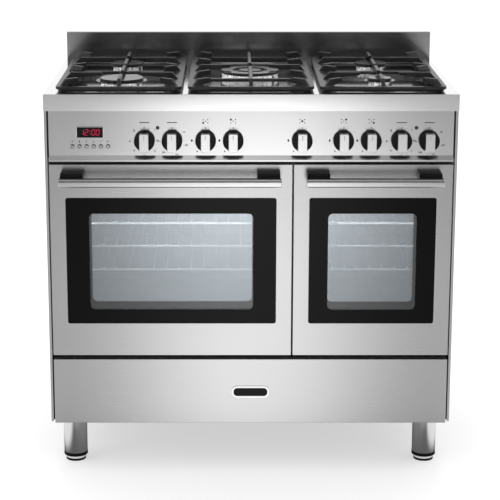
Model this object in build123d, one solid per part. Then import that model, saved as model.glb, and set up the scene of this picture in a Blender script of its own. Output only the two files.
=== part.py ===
from build123d import *
import math
import os

# A free-standing 90 cm range cooker: gas hob, two ovens, storage drawer.
# Millimetres, +Z up, the front faces -Y, origin on the floor under the middle of the bounding box.

# Overall body
WIDTH = 900.0            # over the side panels
DEPTH = 600.0            # hob trim to the back edge
SHEET = 1.5              # folded steel sheet
RUN_GAP = 0.4            # clearance of turning and sliding pieces
REST_GAP = 0.3           # a loose piece above what it stands on

# The front, from the floor up
LEG_HEIGHT = 121.0
DRAWER_HEIGHT = 150.4
FINGER_GAP = 9.8
DOOR_HEIGHT = 434.3
TOP_GAP = 6.6
LIP_HEIGHT = 3.8
FLARE = 8.6              # 45 degree strip, and how far the fascia lies behind the trim
FASCIA_HEIGHT = 98.9
TRIM_HEIGHT = 36.6
SPLASH_HEIGHT = 64.0
SPLASH_DEPTH = 25.0

# Cabinet
FLANGE = 5.5             # front edge of each side panel
SIDE_GAP = 4.0           # beside and between the doors
REAR_INSET = 20.0        # service space behind the rear panel
FASCIA_RETURN = 25.0
FASCIA_UPSTAND = 20.0
VENT_SIZE = (40.0, 6.0)
VENT_PITCH = (60.0, 16.0)
VENT_COUNT = (9, 3)
VENT_DROP = 120.0        # vents below the hob trim

# Legs and levelling feet
LEG_DIAMETER = 54.0
LEG_WALL = 2.0
LEG_INSET_SIDE = 46.0
LEG_INSET_FRONT = 97.0
LEG_INSET_REAR = 60.0
COLLAR_DIAMETER = 55.0
COLLAR_HEIGHT = 7.0
FOOT_DIAMETER = 46.0
FOOT_HEIGHT = 7.7
PAD_DIAMETER = 44.0
PAD_HEIGHT = 4.0
STUD_DIAMETER = 16.0
STUD_LENGTH = 50.0

# Doors
MAIN_DOOR_WIDTH = 530.5
DOOR_DEPTH = 40.0
SKIN_DEPTH = 36.0
LINER_RIM = 14.0
SEAL_SPACE = 8.0         # liner to the front frame
SEAL_WIDTH = 10.0
SEAL_MARGIN = 4.0
SEAL_RADIUS = 12.0
GLASS_MARGIN = (34.0, 74.0)
GLASS_LAP = 12.0
GLASS_THICKNESS = 4.0
GLASS_RADIUS = 5.0
INNER_WINDOW_MARGIN = (75.0, 80.0)
INNER_WINDOW_RADIUS = 12.0
HINGE_SETBACK = 18.0     # pin axis behind the door's face
HINGE_RISE = 17.0        # pin axis above the door's lower edge
HINGE_INSET = 30.0
HINGE_ARM = 6.0
HINGE_BOSS = 8.0
HINGE_PIN = 4.0
HINGE_LEAF = (12.0, 20.0, 58.0)
HINGE_SLOT_GAP = 1.5

# Handles
HANDLE_REACH = 60.0
HANDLE_BAR = (22.0, 18.0)
HANDLE_ROUND = 6.0
HANDLE_MARGIN = 25.0
HANDLE_DROP = 30.5       # middle of the bar below the door's top
BRACKET_SIZE = (50.0, 24.0)
BRACKET_INSET = 2.0
BRACKET_DROP = 7.0          # bracket's underside below the bar's middle

# Drawer
DRAWER_FRONT_DEPTH = 20.0
TRAY_DEPTH = 440.0
TRAY_HEIGHT = 110.0
TRAY_SIDE_GAP = 12.0
PLATE_SIZE = (85.0, 1.5, 28.0)
PLATE_RISE = 73.6
PLATE_RADIUS = 13.0

# Ovens
OVEN_SIDE_MARGIN = 45.0  # door edge to oven mouth
OVEN_FLOOR = 54.0        # door's lower edge to the oven floor
OVEN_HEIGHT = 330.0
OVEN_REAR_SPACE = 150.0
LEDGE = (9.0, 6.0)
LEDGE_END_GAP = 12.0
RACK_LEVELS = (186.0, 240.0, 292.0)   # rack wires above the door's lower edge
RACK_WIRE = 3.0
RACK_FRAME = 5.0
RACK_PITCH = 28.0
RACK_SIDE_GAP = 3.0
RACK_FRONT_GAP = 8.0
RACK_REAR_GAP = 60.0
ELEMENT_RADIUS = 3.5
ELEMENT_DROP = 26.0
ELEMENT_LEGS = 4
ELEMENT_BEND = 18.0
ELEMENT_FRONT_GAP = 60.0
ELEMENT_REAR_GAP = 90.0
ELEMENT_SIDE_GAP = 50.0

# Convection fan in the main oven
FAN_DIAMETER = 150.0
FAN_DEPTH = 20.0
FAN_WALL_GAP = 8.0
FAN_BLADES = 9
FAN_HUB = 14.0
FAN_DISC = 2.0
FAN_RISE = 160.0         # above the oven floor
FAN_SHAFT = 4.0
MOTOR_RADIUS = 36.0
MOTOR_LENGTH = 55.0
RING_RADIUS = 92.0
RING_LEG_PITCH = 30.0
RING_SIDES = 12
RING_BEND = 10.0
COVER_SIZE = (250.0, 230.0)
COVER_DEPTH = 42.0
COVER_HOLE = 5.0
COVER_HOLE_RINGS = (18.0, 34.0, 50.0)

# Controls: knob axes measured from the nearer side of the fascia
KNOB_RISE = 32.5         # above the flare
LEFT_KNOBS = (218.0, 278.0, 351.0, 411.0)
RIGHT_KNOBS = (339.0, 249.0, 189.0, 123.0, 63.0)
KNOB_SKIRT = 22.5
KNOB_SKIRT_DEPTH = 7.0
KNOB_STANDOFF = 5.0
GRIP_SIZE = (21.0, 19.0, 40.0)
GRIP_ROUND = 6.0
SPINDLE = 4.0
SPINDLE_REACH = 28.0     # behind the fascia
SPINDLE_SEAT = 12.0      # bore in the knob
PUSH_TRAVEL = 4.0
TAP_BUSH = 9.0
TAP_BUSH_LENGTH = 8.0
TAP_SIZE = (28.0, 34.0)
SWITCH_SIZE = (42.0, 34.0, 44.0)
RAIL_RADIUS = 8.0
RAIL_SETBACK = 66.0      # rail axis behind the fascia
RAIL_SIDE_GAP = 26.0
RAIL_END = 24.0
INLET_RADIUS = 10.48
INLET_LENGTH = 18.0

# Clock, buttons and lamps, measured from the left side and above the flare
CLOCK_SIDE = 99.5
CLOCK_RISE = 51.1
CLOCK_WINDOW = (56.3, 22.0)
CLOCK_PROUD = 0.8
CLOCK_BODY = (100.0, 34.0, 62.0)
BUTTON_COUNT = 6
BUTTON_PITCH = 15.5
BUTTON_RISE = 20.3
BUTTON_RADIUS = 4.5
BUTTON_PROUD = 2.5
BUTTON_LENGTH = 11.0
BUTTON_TRAVEL = 1.5
LAMP_SIDES = (247.0, 91.0)
LAMP_RISE = 61.0
LAMP_HEAD = (4.0, 1.2)
LAMP_SHANK = (3.0, 14.0)

# Hob
WELL_DEPTH = 4.0
WELL_INSET = 7.0
WELL_RADIUS = 20.0
SUPPORT_SIDE = 24.0
SUPPORT_GAP = 12.0
SUPPORT_FRONT = 25.0
SUPPORT_REAR = 74.0
SUPPORT_LIFT = 5.5       # frame above the hob
SUPPORT_FRAME = 7.0
SUPPORT_RIB = (5.0, 6.0)  # inset and width of the rib under the frame
RIB_GAP = 0.7
SUPPORT_RADIUS = 18.0
SUPPORT_BAND = (22.0, 13.0)
SUPPORT_BAR = 11.0
SUPPORT_FOOT = 12.0
FINGER_WIDTH = 8.0
FINGER_RISE = 28.0       # finger tops above the hob
FINGER_UNDER = 20.0      # underside of a finger over a burner cap
FINGER_SLOPE = 14.0
FINGER_BOSS = 15.0
FINGER_NECK = 6.0
FINGER_ROOT = 14.0       # blade depth beside its boss
FINGER_TIP = 12.0        # blade depth at a short finger's end
SHORT_FINGER = 48.0
SIDE_FREE = 43.0         # open radius beside a burner
END_FREE = 24.0          # open radius before and behind it
CENTRE_BAR = 115.0       # crossbars of the centre support, from its middle
BURNER_PITCH = 242.0     # front to rear burner
CROWN_RISE = 9.0
CAP_RISE = 16.0
CAP_LAP = 3.0
CAP_CLEARANCE = 4.0
BURNER_CUP_DEPTH = 32.0
CUP_STEP = 7.0           # crown edge to the cup below the hob
CAP_DIAMETERS = {
    "front_left": 98.0, "rear_left": 74.0, "centre": 135.0, "rear_right": 74.0, "front_right": 54.0,
}
WOK_RING_WIDTH = 28.0
WOK_INNER_CAP = 52.0

# Mains terminal box
TERMINAL_SIZE = (80.0, 40.0, 70.0)
TERMINAL_SIDE = 130.0
TERMINAL_RISE = 60.0
GLAND_RADIUS = 11.0
GLAND_BORE = 6.5
GLAND_LENGTH = 18.0

# Levels worked out from the sizes above
Z_DRAWER_TOP = LEG_HEIGHT + DRAWER_HEIGHT
Z_DOOR = Z_DRAWER_TOP + FINGER_GAP
Z_DOOR_TOP = Z_DOOR + DOOR_HEIGHT
Z_LIP = Z_DOOR_TOP + TOP_GAP
Z_FLARE = Z_LIP + LIP_HEIGHT
Z_FASCIA = Z_FLARE + FLARE
Z_TRIM = Z_FASCIA + FASCIA_HEIGHT
Z_HOB = Z_TRIM + TRIM_HEIGHT
Z_WELL = Z_HOB - WELL_DEPTH
Z_KNOB = Z_FASCIA + KNOB_RISE

# Depths worked out from the sizes above
FRONT = HANDLE_REACH - (DEPTH + HANDLE_REACH) / 2
BACK = FRONT + DEPTH
Y_FASCIA = FRONT + FLARE
Y_BEHIND = Y_FASCIA + SHEET
Y_LINER = FRONT + DOOR_DEPTH
Y_FRAME = Y_LINER + SEAL_SPACE
Y_OVEN = Y_FRAME + SHEET
Y_OVEN_REAR = BACK - OVEN_REAR_SPACE
Y_REAR = BACK - REAR_INSET - SHEET
Y_PIN = FRONT + HINGE_SETBACK
Z_PIN = Z_DOOR + HINGE_RISE

# Widths worked out from the sizes above
HALF = WIDTH / 2
INNER_HALF = HALF - SHEET
DOOR_EDGE = HALF - FLANGE - SIDE_GAP
MAIN_DOOR = (-DOOR_EDGE, -DOOR_EDGE + MAIN_DOOR_WIDTH)
SIDE_DOOR = (MAIN_DOOR[1] + SIDE_GAP, DOOR_EDGE)
DOORS = {"main": MAIN_DOOR, "side": SIDE_DOOR}
OVENS = {name: (x0 + OVEN_SIDE_MARGIN, x1 - OVEN_SIDE_MARGIN) for name, (x0, x1) in DOORS.items()}
Z_OVEN = Z_DOOR + OVEN_FLOOR
Z_OVEN_TOP = Z_OVEN + OVEN_HEIGHT
FAN_X = sum(OVENS["main"]) / 2
FAN_Z = Z_OVEN + FAN_RISE
Y_FAN = Y_OVEN_REAR - FAN_WALL_GAP - FAN_DEPTH
KNOB_X = [side - HALF for side in LEFT_KNOBS] + [HALF - side for side in RIGHT_KNOBS]
GAS_KNOBS = range(3, 8)
CLOCK_X = CLOCK_SIDE - HALF
CLOCK_Z = Z_FASCIA + CLOCK_RISE
BUTTON_Z = Z_FASCIA + BUTTON_RISE
BUTTON_X = [CLOCK_X + BUTTON_PITCH * (i - (BUTTON_COUNT - 1) / 2) for i in range(BUTTON_COUNT)]
LAMP_X = (LAMP_SIDES[0] - HALF, HALF - LAMP_SIDES[1])
LAMP_Z = Z_FASCIA + LAMP_RISE
SUPPORT_WIDTH = (WIDTH - 2 * SUPPORT_SIDE - 2 * SUPPORT_GAP) / 3
SUPPORT_DEPTH = DEPTH - SPLASH_DEPTH - SUPPORT_FRONT - SUPPORT_REAR
SUPPORT_PITCH = SUPPORT_WIDTH + SUPPORT_GAP
SUPPORT_Y = FRONT + SUPPORT_FRONT + SUPPORT_DEPTH / 2
SUPPORTS = {"left": -SUPPORT_PITCH, "centre": 0.0, "right": SUPPORT_PITCH}
BURNERS = {
    "front_left": (-SUPPORT_PITCH, SUPPORT_Y - BURNER_PITCH / 2),
    "rear_left": (-SUPPORT_PITCH, SUPPORT_Y + BURNER_PITCH / 2),
    "centre": (0.0, SUPPORT_Y),
    "rear_right": (SUPPORT_PITCH, SUPPORT_Y + BURNER_PITCH / 2),
    "front_right": (SUPPORT_PITCH, SUPPORT_Y - BURNER_PITCH / 2),
}
LEG_PLACES = [(side * (HALF - LEG_INSET_SIDE), y)
              for side in (-1, 1) for y in (FRONT + LEG_INSET_FRONT, BACK - LEG_INSET_REAR)]
Z_COLLAR = PAD_HEIGHT + FOOT_HEIGHT + REST_GAP
INLET_X = INNER_HALF - RAIL_SIDE_GAP
TERMINAL_X = TERMINAL_SIDE - HALF
TERMINAL_Z = LEG_HEIGHT + TERMINAL_RISE


def block(x0, x1, y0, y1, z0, z1):
    """A box between two opposite corners."""
    middle = Pos((x0 + x1) / 2, (y0 + y1) / 2, (z0 + z1) / 2)
    return middle * Box(x1 - x0, y1 - y0, z1 - z0)


def panel(x0, x1, y0, y1, z0, z1, radius):
    """A plate facing the front, with rounded corners."""
    plane = Plane(origin=((x0 + x1) / 2, y0, (z0 + z1) / 2), x_dir=(1, 0, 0), z_dir=(0, 1, 0))
    return extrude(plane * RectangleRounded(x1 - x0, z1 - z0, radius), y1 - y0)


def slab(x0, x1, y0, y1, z0, z1, radius):
    """A flat-lying plate with rounded corners."""
    plane = Plane(origin=((x0 + x1) / 2, (y0 + y1) / 2, z0))
    return extrude(plane * RectangleRounded(x1 - x0, y1 - y0, radius), z1 - z0)


def rod_x(x0, x1, y, z, radius):
    return Pos((x0 + x1) / 2, y, z) * Rot(0, 90, 0) * Cylinder(radius, abs(x1 - x0))


def rod_y(x, y0, y1, z, radius):
    return Pos(x, (y0 + y1) / 2, z) * Rot(90, 0, 0) * Cylinder(radius, abs(y1 - y0))


def rod_z(x, y, z0, z1, radius):
    return Pos(x, y, (z0 + z1) / 2) * Cylinder(radius, abs(z1 - z0))


def group(solids):
    """Separate pieces that share one node."""
    return Compound(children=list(solids))


# Cabinet panels

def side_panels():
    pieces = []
    for side in (-1, 1):
        sheet = sorted((side * INNER_HALF, side * HALF))
        edge = sorted((side * (HALF - FLANGE), side * HALF))
        piece = block(*sheet, Y_BEHIND, BACK, LEG_HEIGHT, Z_TRIM)
        piece += block(*edge, Y_BEHIND, Y_BEHIND + SHEET, LEG_HEIGHT, Z_TRIM)
        pieces.append(piece)
    return group(pieces)


def base_pan():
    start = FRONT + DRAWER_FRONT_DEPTH + SHEET
    return block(-INNER_HALF, INNER_HALF, start, BACK - REAR_INSET, LEG_HEIGHT, LEG_HEIGHT + SHEET)


def rear_panel():
    sheet = block(-INNER_HALF, INNER_HALF, Y_REAR, Y_REAR + SHEET, LEG_HEIGHT + SHEET, Z_TRIM)
    columns, rows = VENT_COUNT
    slots = []
    for column in range(columns):
        x = VENT_PITCH[0] * (column - (columns - 1) / 2)
        for row in range(rows):
            z = Z_TRIM - VENT_DROP - VENT_PITCH[1] * row
            half_width, half_height = VENT_SIZE[0] / 2, VENT_SIZE[1] / 2
            slots.append(block(x - half_width, x + half_width, Y_REAR - 1, Y_REAR + SHEET + 1,
                               z - half_height, z + half_height))
    holes = [
        rod_y(INLET_X, Y_REAR - 1, Y_REAR + SHEET + 1, Z_KNOB, RAIL_RADIUS + RUN_GAP),
        rod_y(TERMINAL_X, Y_REAR - 1, Y_REAR + SHEET + 1, TERMINAL_Z, GLAND_RADIUS + RUN_GAP),
    ]
    return sheet - slots - holes


def front_frame():
    sheet = block(-INNER_HALF, INNER_HALF, Y_FRAME, Y_OVEN, Z_DRAWER_TOP, Z_LIP)
    mouths = [block(x0, x1, Y_FRAME - 1, Y_OVEN + 1, Z_OVEN, Z_OVEN_TOP) for x0, x1 in OVENS.values()]
    return sheet - mouths


def hob_top():
    lid = block(-HALF, HALF, FRONT, BACK, Z_TRIM, Z_HOB)
    lid -= block(-INNER_HALF, INNER_HALF, FRONT + SHEET, BACK - SHEET, Z_TRIM - 1, Z_HOB - SHEET)
    lid += block(-INNER_HALF, INNER_HALF, FRONT + SHEET, Y_FASCIA, Z_TRIM, Z_TRIM + SHEET)
    for x in SUPPORTS.values():
        half_width = SUPPORT_WIDTH / 2 - WELL_INSET
        half_depth = SUPPORT_DEPTH / 2 - WELL_INSET
        rim = (x - half_width, x + half_width, SUPPORT_Y - half_depth, SUPPORT_Y + half_depth)
        outer = (rim[0] - SHEET, rim[1] + SHEET, rim[2] - SHEET, rim[3] + SHEET)
        lid += slab(*outer, Z_WELL - SHEET, Z_HOB - SHEET, WELL_RADIUS + SHEET)
        lid -= slab(*rim, Z_WELL, Z_HOB + 1, WELL_RADIUS)
    for name, (x, y) in BURNERS.items():
        lid -= rod_z(x, y, Z_WELL - SHEET - 1, Z_WELL + 1, cup_radius(name) + RUN_GAP)
    return lid


def splashback():
    outer = block(-HALF, HALF, BACK - SPLASH_DEPTH, BACK, Z_HOB, Z_HOB + SPLASH_HEIGHT)
    inner = block(-INNER_HALF, INNER_HALF, BACK - SPLASH_DEPTH + SHEET, BACK - SHEET,
                  Z_HOB - 1, Z_HOB + SPLASH_HEIGHT - SHEET)
    return outer - inner


# Controls

def control_panel():
    inset = SHEET * math.tan(math.radians(22.5))
    outline = [
        (FRONT, Z_LIP), (FRONT, Z_FLARE), (Y_FASCIA, Z_FASCIA), (Y_FASCIA, Z_TRIM), (Y_BEHIND, Z_TRIM),
        (Y_BEHIND, Z_FASCIA - inset), (FRONT + SHEET, Z_FLARE - inset), (FRONT + SHEET, Z_LIP),
    ]
    face = Plane.YZ * make_face(Polyline(*outline, close=True))
    sheet = Pos(-DOOR_EDGE, 0, 0) * extrude(face, 2 * DOOR_EDGE)
    sheet += block(-DOOR_EDGE, DOOR_EDGE, FRONT + SHEET, FRONT + FASCIA_RETURN, Z_LIP, Z_LIP + SHEET)
    sheet += block(-DOOR_EDGE, DOOR_EDGE, Y_FASCIA, Y_BEHIND, Z_TRIM, Z_TRIM + FASCIA_UPSTAND)
    through = (Y_FASCIA - 1, Y_BEHIND + 1)
    for x in KNOB_X:
        sheet -= rod_y(x, *through, Z_KNOB, SPINDLE + 2 * RUN_GAP)
    for x in BUTTON_X:
        sheet -= rod_y(x, *through, BUTTON_Z, BUTTON_RADIUS + RUN_GAP)
    for x in LAMP_X:
        sheet -= rod_y(x, *through, LAMP_Z, LAMP_SHANK[0] + RUN_GAP)
    return sheet - clock_window(*through)


def clock_window(y0, y1):
    half_width, half_height = CLOCK_WINDOW[0] / 2, CLOCK_WINDOW[1] / 2
    return block(CLOCK_X - half_width, CLOCK_X + half_width, y0, y1,
                 CLOCK_Z - half_height, CLOCK_Z + half_height)


def clock_module():
    width, depth, height = CLOCK_BODY
    middle = (CLOCK_Z + BUTTON_Z) / 2
    body = block(CLOCK_X - width / 2, CLOCK_X + width / 2, Y_BEHIND, Y_BEHIND + depth,
                 middle - height / 2, middle + height / 2)
    bore_end = Y_FASCIA - BUTTON_PROUD + BUTTON_LENGTH + 2 * BUTTON_TRAVEL
    for x in BUTTON_X:
        body -= rod_y(x, Y_BEHIND - 1, bore_end, BUTTON_Z, BUTTON_RADIUS + RUN_GAP)
    return body + clock_window(Y_FASCIA - CLOCK_PROUD, Y_BEHIND)


def clock_button(x):
    start = Y_FASCIA - BUTTON_PROUD
    return rod_y(x, start, start + BUTTON_LENGTH, BUTTON_Z, BUTTON_RADIUS)


def indicator_lamps():
    lenses = []
    for x in LAMP_X:
        head = rod_y(x, Y_FASCIA - LAMP_HEAD[1], Y_FASCIA, LAMP_Z, LAMP_HEAD[0])
        lenses.append(head + rod_y(x, Y_FASCIA, Y_FASCIA + LAMP_SHANK[1], LAMP_Z, LAMP_SHANK[0]))
    return group(lenses)


def knob(x, own_spindle):
    back = Y_FASCIA - KNOB_STANDOFF
    skirt_front = back - KNOB_SKIRT_DEPTH
    width, depth, length = GRIP_SIZE
    grip = block(x - width / 2, x + width / 2, skirt_front - depth, skirt_front,
                 Z_KNOB - length / 2, Z_KNOB + length / 2)
    grip = fillet(grip.edges().filter_by(Axis.Y), GRIP_ROUND)
    piece = rod_y(x, skirt_front, back, Z_KNOB, KNOB_SKIRT) + grip
    if own_spindle:
        return piece + rod_y(x, back, Y_BEHIND + SPINDLE_REACH, Z_KNOB, SPINDLE)
    return piece - rod_y(x, back - SPINDLE_SEAT, back + 1, Z_KNOB, SPINDLE + RUN_GAP)


def gas_spindle(x):
    seat = Y_FASCIA - KNOB_STANDOFF - SPINDLE_SEAT + RUN_GAP
    return rod_y(x, seat, Y_BEHIND + SPINDLE_REACH, Z_KNOB, SPINDLE)


def bushed_body(x, width, depth, height, bore_depth):
    """A tap or switch behind the fascia, with its bush and spindle bore."""
    start = Y_BEHIND + TAP_BUSH_LENGTH
    body = block(x - width / 2, x + width / 2, start, start + depth,
                 Z_KNOB - height / 2, Z_KNOB + height / 2)
    body += rod_y(x, Y_BEHIND, start, Z_KNOB, TAP_BUSH)
    return body - rod_y(x, Y_BEHIND - 1, Y_BEHIND + bore_depth, Z_KNOB, SPINDLE + RUN_GAP)


def oven_switches():
    bore = SPINDLE_REACH + RUN_GAP
    places = [x for number, x in enumerate(KNOB_X, 1) if number not in GAS_KNOBS]
    return group(bushed_body(x, *SWITCH_SIZE, bore) for x in places)


def gas_manifold():
    y_rail = Y_FASCIA + RAIL_SETBACK
    places = [KNOB_X[number - 1] for number in GAS_KNOBS]
    y_inlet = Y_REAR + SHEET
    rail = rod_x(places[0] - RAIL_END, INLET_X, y_rail, Z_KNOB, RAIL_RADIUS)
    rail += Pos(INLET_X, y_rail, Z_KNOB) * Sphere(RAIL_RADIUS)
    rail += rod_y(INLET_X, y_rail, y_inlet, Z_KNOB, RAIL_RADIUS)
    rail += rod_y(INLET_X, y_inlet, y_inlet + INLET_LENGTH, Z_KNOB, INLET_RADIUS)
    width, height = TAP_SIZE
    depth = y_rail - Y_BEHIND - TAP_BUSH_LENGTH
    bore = SPINDLE_REACH + PUSH_TRAVEL + RUN_GAP
    saddle = rod_x(-HALF, HALF, y_rail, Z_KNOB, RAIL_RADIUS + RUN_GAP / 2)
    taps = [bushed_body(x, width, depth, height, bore) - saddle for x in places]
    return group([rail] + taps)


# Ovens

def oven_cavity(name):
    x0, x1 = OVENS[name]
    shell = block(x0 - SHEET, x1 + SHEET, Y_OVEN, Y_OVEN_REAR + SHEET, Z_OVEN - SHEET, Z_OVEN_TOP + SHEET)
    shell -= block(x0, x1, Y_OVEN - 1, Y_OVEN_REAR, Z_OVEN, Z_OVEN_TOP)
    width, height = LEDGE
    for level in RACK_LEVELS:
        top = Z_DOOR + level - RACK_WIRE / 2 - RACK_FRAME
        run = (Y_OVEN + LEDGE_END_GAP, Y_OVEN_REAR - LEDGE_END_GAP)
        shell += block(x0, x0 + width, *run, top - height, top)
        shell += block(x1 - width, x1, *run, top - height, top)
    if name == "main":
        shell -= rod_y(FAN_X, Y_OVEN_REAR - 1, Y_OVEN_REAR + SHEET + 1, FAN_Z, FAN_SHAFT + 2 * RUN_GAP)
    return shell


def oven_rack(name, level):
    x0, x1 = OVENS[name]
    x0, x1 = x0 + RACK_SIDE_GAP, x1 - RACK_SIDE_GAP
    y0, y1 = Y_OVEN + RACK_FRONT_GAP, Y_OVEN_REAR - RACK_REAR_GAP
    top = Z_DOOR + level + RACK_WIRE / 2
    low = top - RACK_WIRE
    base = low - RACK_FRAME
    rack = block(x0, x1, y0, y0 + RACK_FRAME, base, low) + block(x0, x1, y1 - RACK_FRAME, y1, base, low)
    rack += [block(x0, x0 + RACK_FRAME, y0, y1, base, low), block(x1 - RACK_FRAME, x1, y0, y1, base, low)]
    count = int((x1 - x0 - 2 * RACK_FRAME) / RACK_PITCH)
    wires = []
    for i in range(count + 1):
        x = (x0 + x1) / 2 + RACK_PITCH * (i - count / 2)
        wires.append(block(x - RACK_WIRE / 2, x + RACK_WIRE / 2, y0, y1, low, top))
    return rack + wires


def oven_racks():
    return group(oven_rack(name, level) for name in OVENS for level in RACK_LEVELS)


def grill_element(name):
    x0, x1 = OVENS[name]
    x0, x1 = x0 + ELEMENT_SIDE_GAP, x1 - ELEMENT_SIDE_GAP
    near, far = Y_OVEN + ELEMENT_FRONT_GAP, Y_OVEN_REAR - ELEMENT_REAR_GAP
    z = Z_OVEN_TOP - ELEMENT_DROP
    points = [(x0, Y_OVEN_REAR, z)]
    for i in range(ELEMENT_LEGS):
        x = x0 + (x1 - x0) * i / (ELEMENT_LEGS - 1)
        ends = (far, near) if i % 2 == 0 else (near, far)
        if i > 0:
            points.append((x, ends[0], z))
        points.append((x, ends[1], z))
    points[-1] = (x1, Y_OVEN_REAR, z)
    path = FilletPolyline(*points, radius=ELEMENT_BEND)
    section = Plane(origin=points[0], z_dir=(0, -1, 0)) * Circle(ELEMENT_RADIUS)
    return sweep(section, path=path)


def ring_element():
    """The heater round the fan, with both ends turned back into the oven's rear wall."""
    y = Y_FAN + FAN_DEPTH / 2
    first = math.asin(RING_LEG_PITCH / 2 / RING_RADIUS)
    turns = [first + (2 * math.pi - 2 * first) * i / RING_SIDES for i in range(RING_SIDES + 1)]
    ring = [(FAN_X + RING_RADIUS * math.sin(turn), y, FAN_Z + RING_RADIUS * math.cos(turn))
            for turn in turns]
    points = [(ring[0][0], Y_OVEN_REAR, ring[0][2])] + ring + [(ring[-1][0], Y_OVEN_REAR, ring[-1][2])]
    path = FilletPolyline(*points, radius=RING_BEND)
    section = Plane(origin=points[0], z_dir=(0, -1, 0)) * Circle(ELEMENT_RADIUS)
    return sweep(section, path=path)


def heating_elements():
    return group([grill_element("main"), grill_element("side"), ring_element()])


def fan_unit():
    motor = rod_y(FAN_X, Y_OVEN_REAR + SHEET, Y_OVEN_REAR + SHEET + MOTOR_LENGTH, FAN_Z, MOTOR_RADIUS)
    motor += rod_y(FAN_X, Y_FAN + FAN_DEPTH / 2, Y_OVEN_REAR + SHEET, FAN_Z, FAN_SHAFT)
    half_width, half_height = COVER_SIZE[0] / 2, COVER_SIZE[1] / 2
    y0 = Y_OVEN_REAR - COVER_DEPTH
    cover = block(FAN_X - half_width, FAN_X + half_width, y0, Y_OVEN_REAR,
                  FAN_Z - half_height, FAN_Z + half_height)
    cover -= block(FAN_X - half_width + SHEET, FAN_X + half_width - SHEET, y0 + SHEET, Y_OVEN_REAR + 1,
                   FAN_Z - half_height + SHEET, FAN_Z + half_height - SHEET)
    holes = []
    for radius in COVER_HOLE_RINGS:
        count = int(2 * math.pi * radius / (3 * COVER_HOLE))
        for i in range(count):
            turn = 2 * math.pi * i / count
            holes.append(rod_y(FAN_X + radius * math.cos(turn), y0 - 1, y0 + SHEET + 1,
                               FAN_Z + radius * math.sin(turn), COVER_HOLE))
    return group([motor, cover - holes])


def fan_blade():
    y1 = Y_FAN + FAN_DEPTH
    wheel = rod_y(FAN_X, y1 - FAN_DISC, y1, FAN_Z, FAN_DIAMETER / 2)
    wheel += rod_y(FAN_X, Y_FAN, y1, FAN_Z, FAN_HUB)
    for i in range(FAN_BLADES):
        blade = block(FAN_HUB - 1, FAN_DIAMETER / 2 - 1, Y_FAN, y1 - FAN_DISC, -FAN_DISC / 2, FAN_DISC / 2)
        wheel += Pos(FAN_X, 0, FAN_Z) * Rot(0, 360 * i / FAN_BLADES, 0) * blade
    return wheel - rod_y(FAN_X, Y_FAN + FAN_DEPTH / 2 - RUN_GAP, y1 + 1, FAN_Z, FAN_SHAFT + RUN_GAP)


def door_seals():
    rings = []
    for x0, x1 in OVENS.values():
        near = SEAL_MARGIN
        far = SEAL_MARGIN + SEAL_WIDTH
        y0, y1 = Y_LINER + REST_GAP, Y_FRAME
        outer = panel(x0 - far, x1 + far, y0, y1, Z_OVEN - far, Z_OVEN_TOP + far, SEAL_RADIUS + SEAL_WIDTH)
        inner = panel(x0 - near, x1 + near, y0 - 1, y1 + 1, Z_OVEN - near, Z_OVEN_TOP + near, SEAL_RADIUS)
        rings.append(outer - inner)
    return group(rings)


# Oven doors

def hinge_places(name):
    """Middle of each fixed hinge arm, with the side its pin points to."""
    x0, x1 = DOORS[name]
    return [(x0 + HINGE_INSET, 1), (x1 - HINGE_INSET, -1)]


def hinge_brackets():
    pieces = []
    for name in DOORS:
        for x, side in hinge_places(name):
            half = HINGE_ARM / 2
            arm = block(x - half, x + half, Y_PIN, Y_FRAME,
                        Z_PIN - HINGE_BOSS * 0.75, Z_PIN + HINGE_BOSS * 0.75)
            arm += rod_x(x - half, x + half, Y_PIN, Z_PIN, HINGE_BOSS)
            reach = half + HINGE_SLOT_GAP + HINGE_LEAF[0]
            arm += rod_x(*sorted((x, x + side * reach)), Y_PIN, Z_PIN, HINGE_PIN)
            pieces.append(arm)
    return group(pieces)


def hinge_leaves(name):
    leaves = []
    width, depth, height = HINGE_LEAF
    for x, side in hinge_places(name):
        near = x + side * (HINGE_ARM / 2 + HINGE_SLOT_GAP)
        edges = sorted((near, near + side * width))
        y0 = Y_PIN - depth / 2
        leaf = block(*edges, y0, y0 + depth, Z_DOOR + SHEET, Z_DOOR + SHEET + height)
        leaves.append(leaf - rod_x(edges[0] - 1, edges[1] + 1, Y_PIN, Z_PIN, HINGE_PIN + RUN_GAP))
    return group(leaves)


def hinge_slots(name):
    """Room for the fixed arms behind and below each pin, as the door turns."""
    slots = []
    for x, _ in hinge_places(name):
        half = HINGE_ARM / 2 + HINGE_SLOT_GAP
        room = HINGE_BOSS + HINGE_SLOT_GAP
        slots.append(block(x - half, x + half, Y_PIN - room, Y_LINER + 1, Z_DOOR - 1, Z_PIN + room))
    return slots


def glass_opening(name, y0, y1, lap, radius):
    x0, x1 = DOORS[name]
    side, end = GLASS_MARGIN
    return panel(x0 + side - lap, x1 - side + lap, y0, y1,
                 Z_DOOR + end - lap, Z_DOOR_TOP - end + lap, radius)


def inner_window(name, y0, y1, lap, radius):
    x0, x1 = DOORS[name]
    side, end = INNER_WINDOW_MARGIN
    return panel(x0 + side - lap, x1 - side + lap, y0, y1,
                 Z_DOOR + end - lap, Z_DOOR_TOP - end + lap, radius)


def door_skin(name):
    x0, x1 = DOORS[name]
    skin = block(x0, x1, FRONT, FRONT + SKIN_DEPTH, Z_DOOR, Z_DOOR_TOP)
    skin -= block(x0 + SHEET, x1 - SHEET, FRONT + SHEET, FRONT + SKIN_DEPTH + 1,
                  Z_DOOR + SHEET, Z_DOOR_TOP - SHEET)
    return skin - glass_opening(name, FRONT - 1, FRONT + SHEET + 1, 0, GLASS_RADIUS) - hinge_slots(name)


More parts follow.
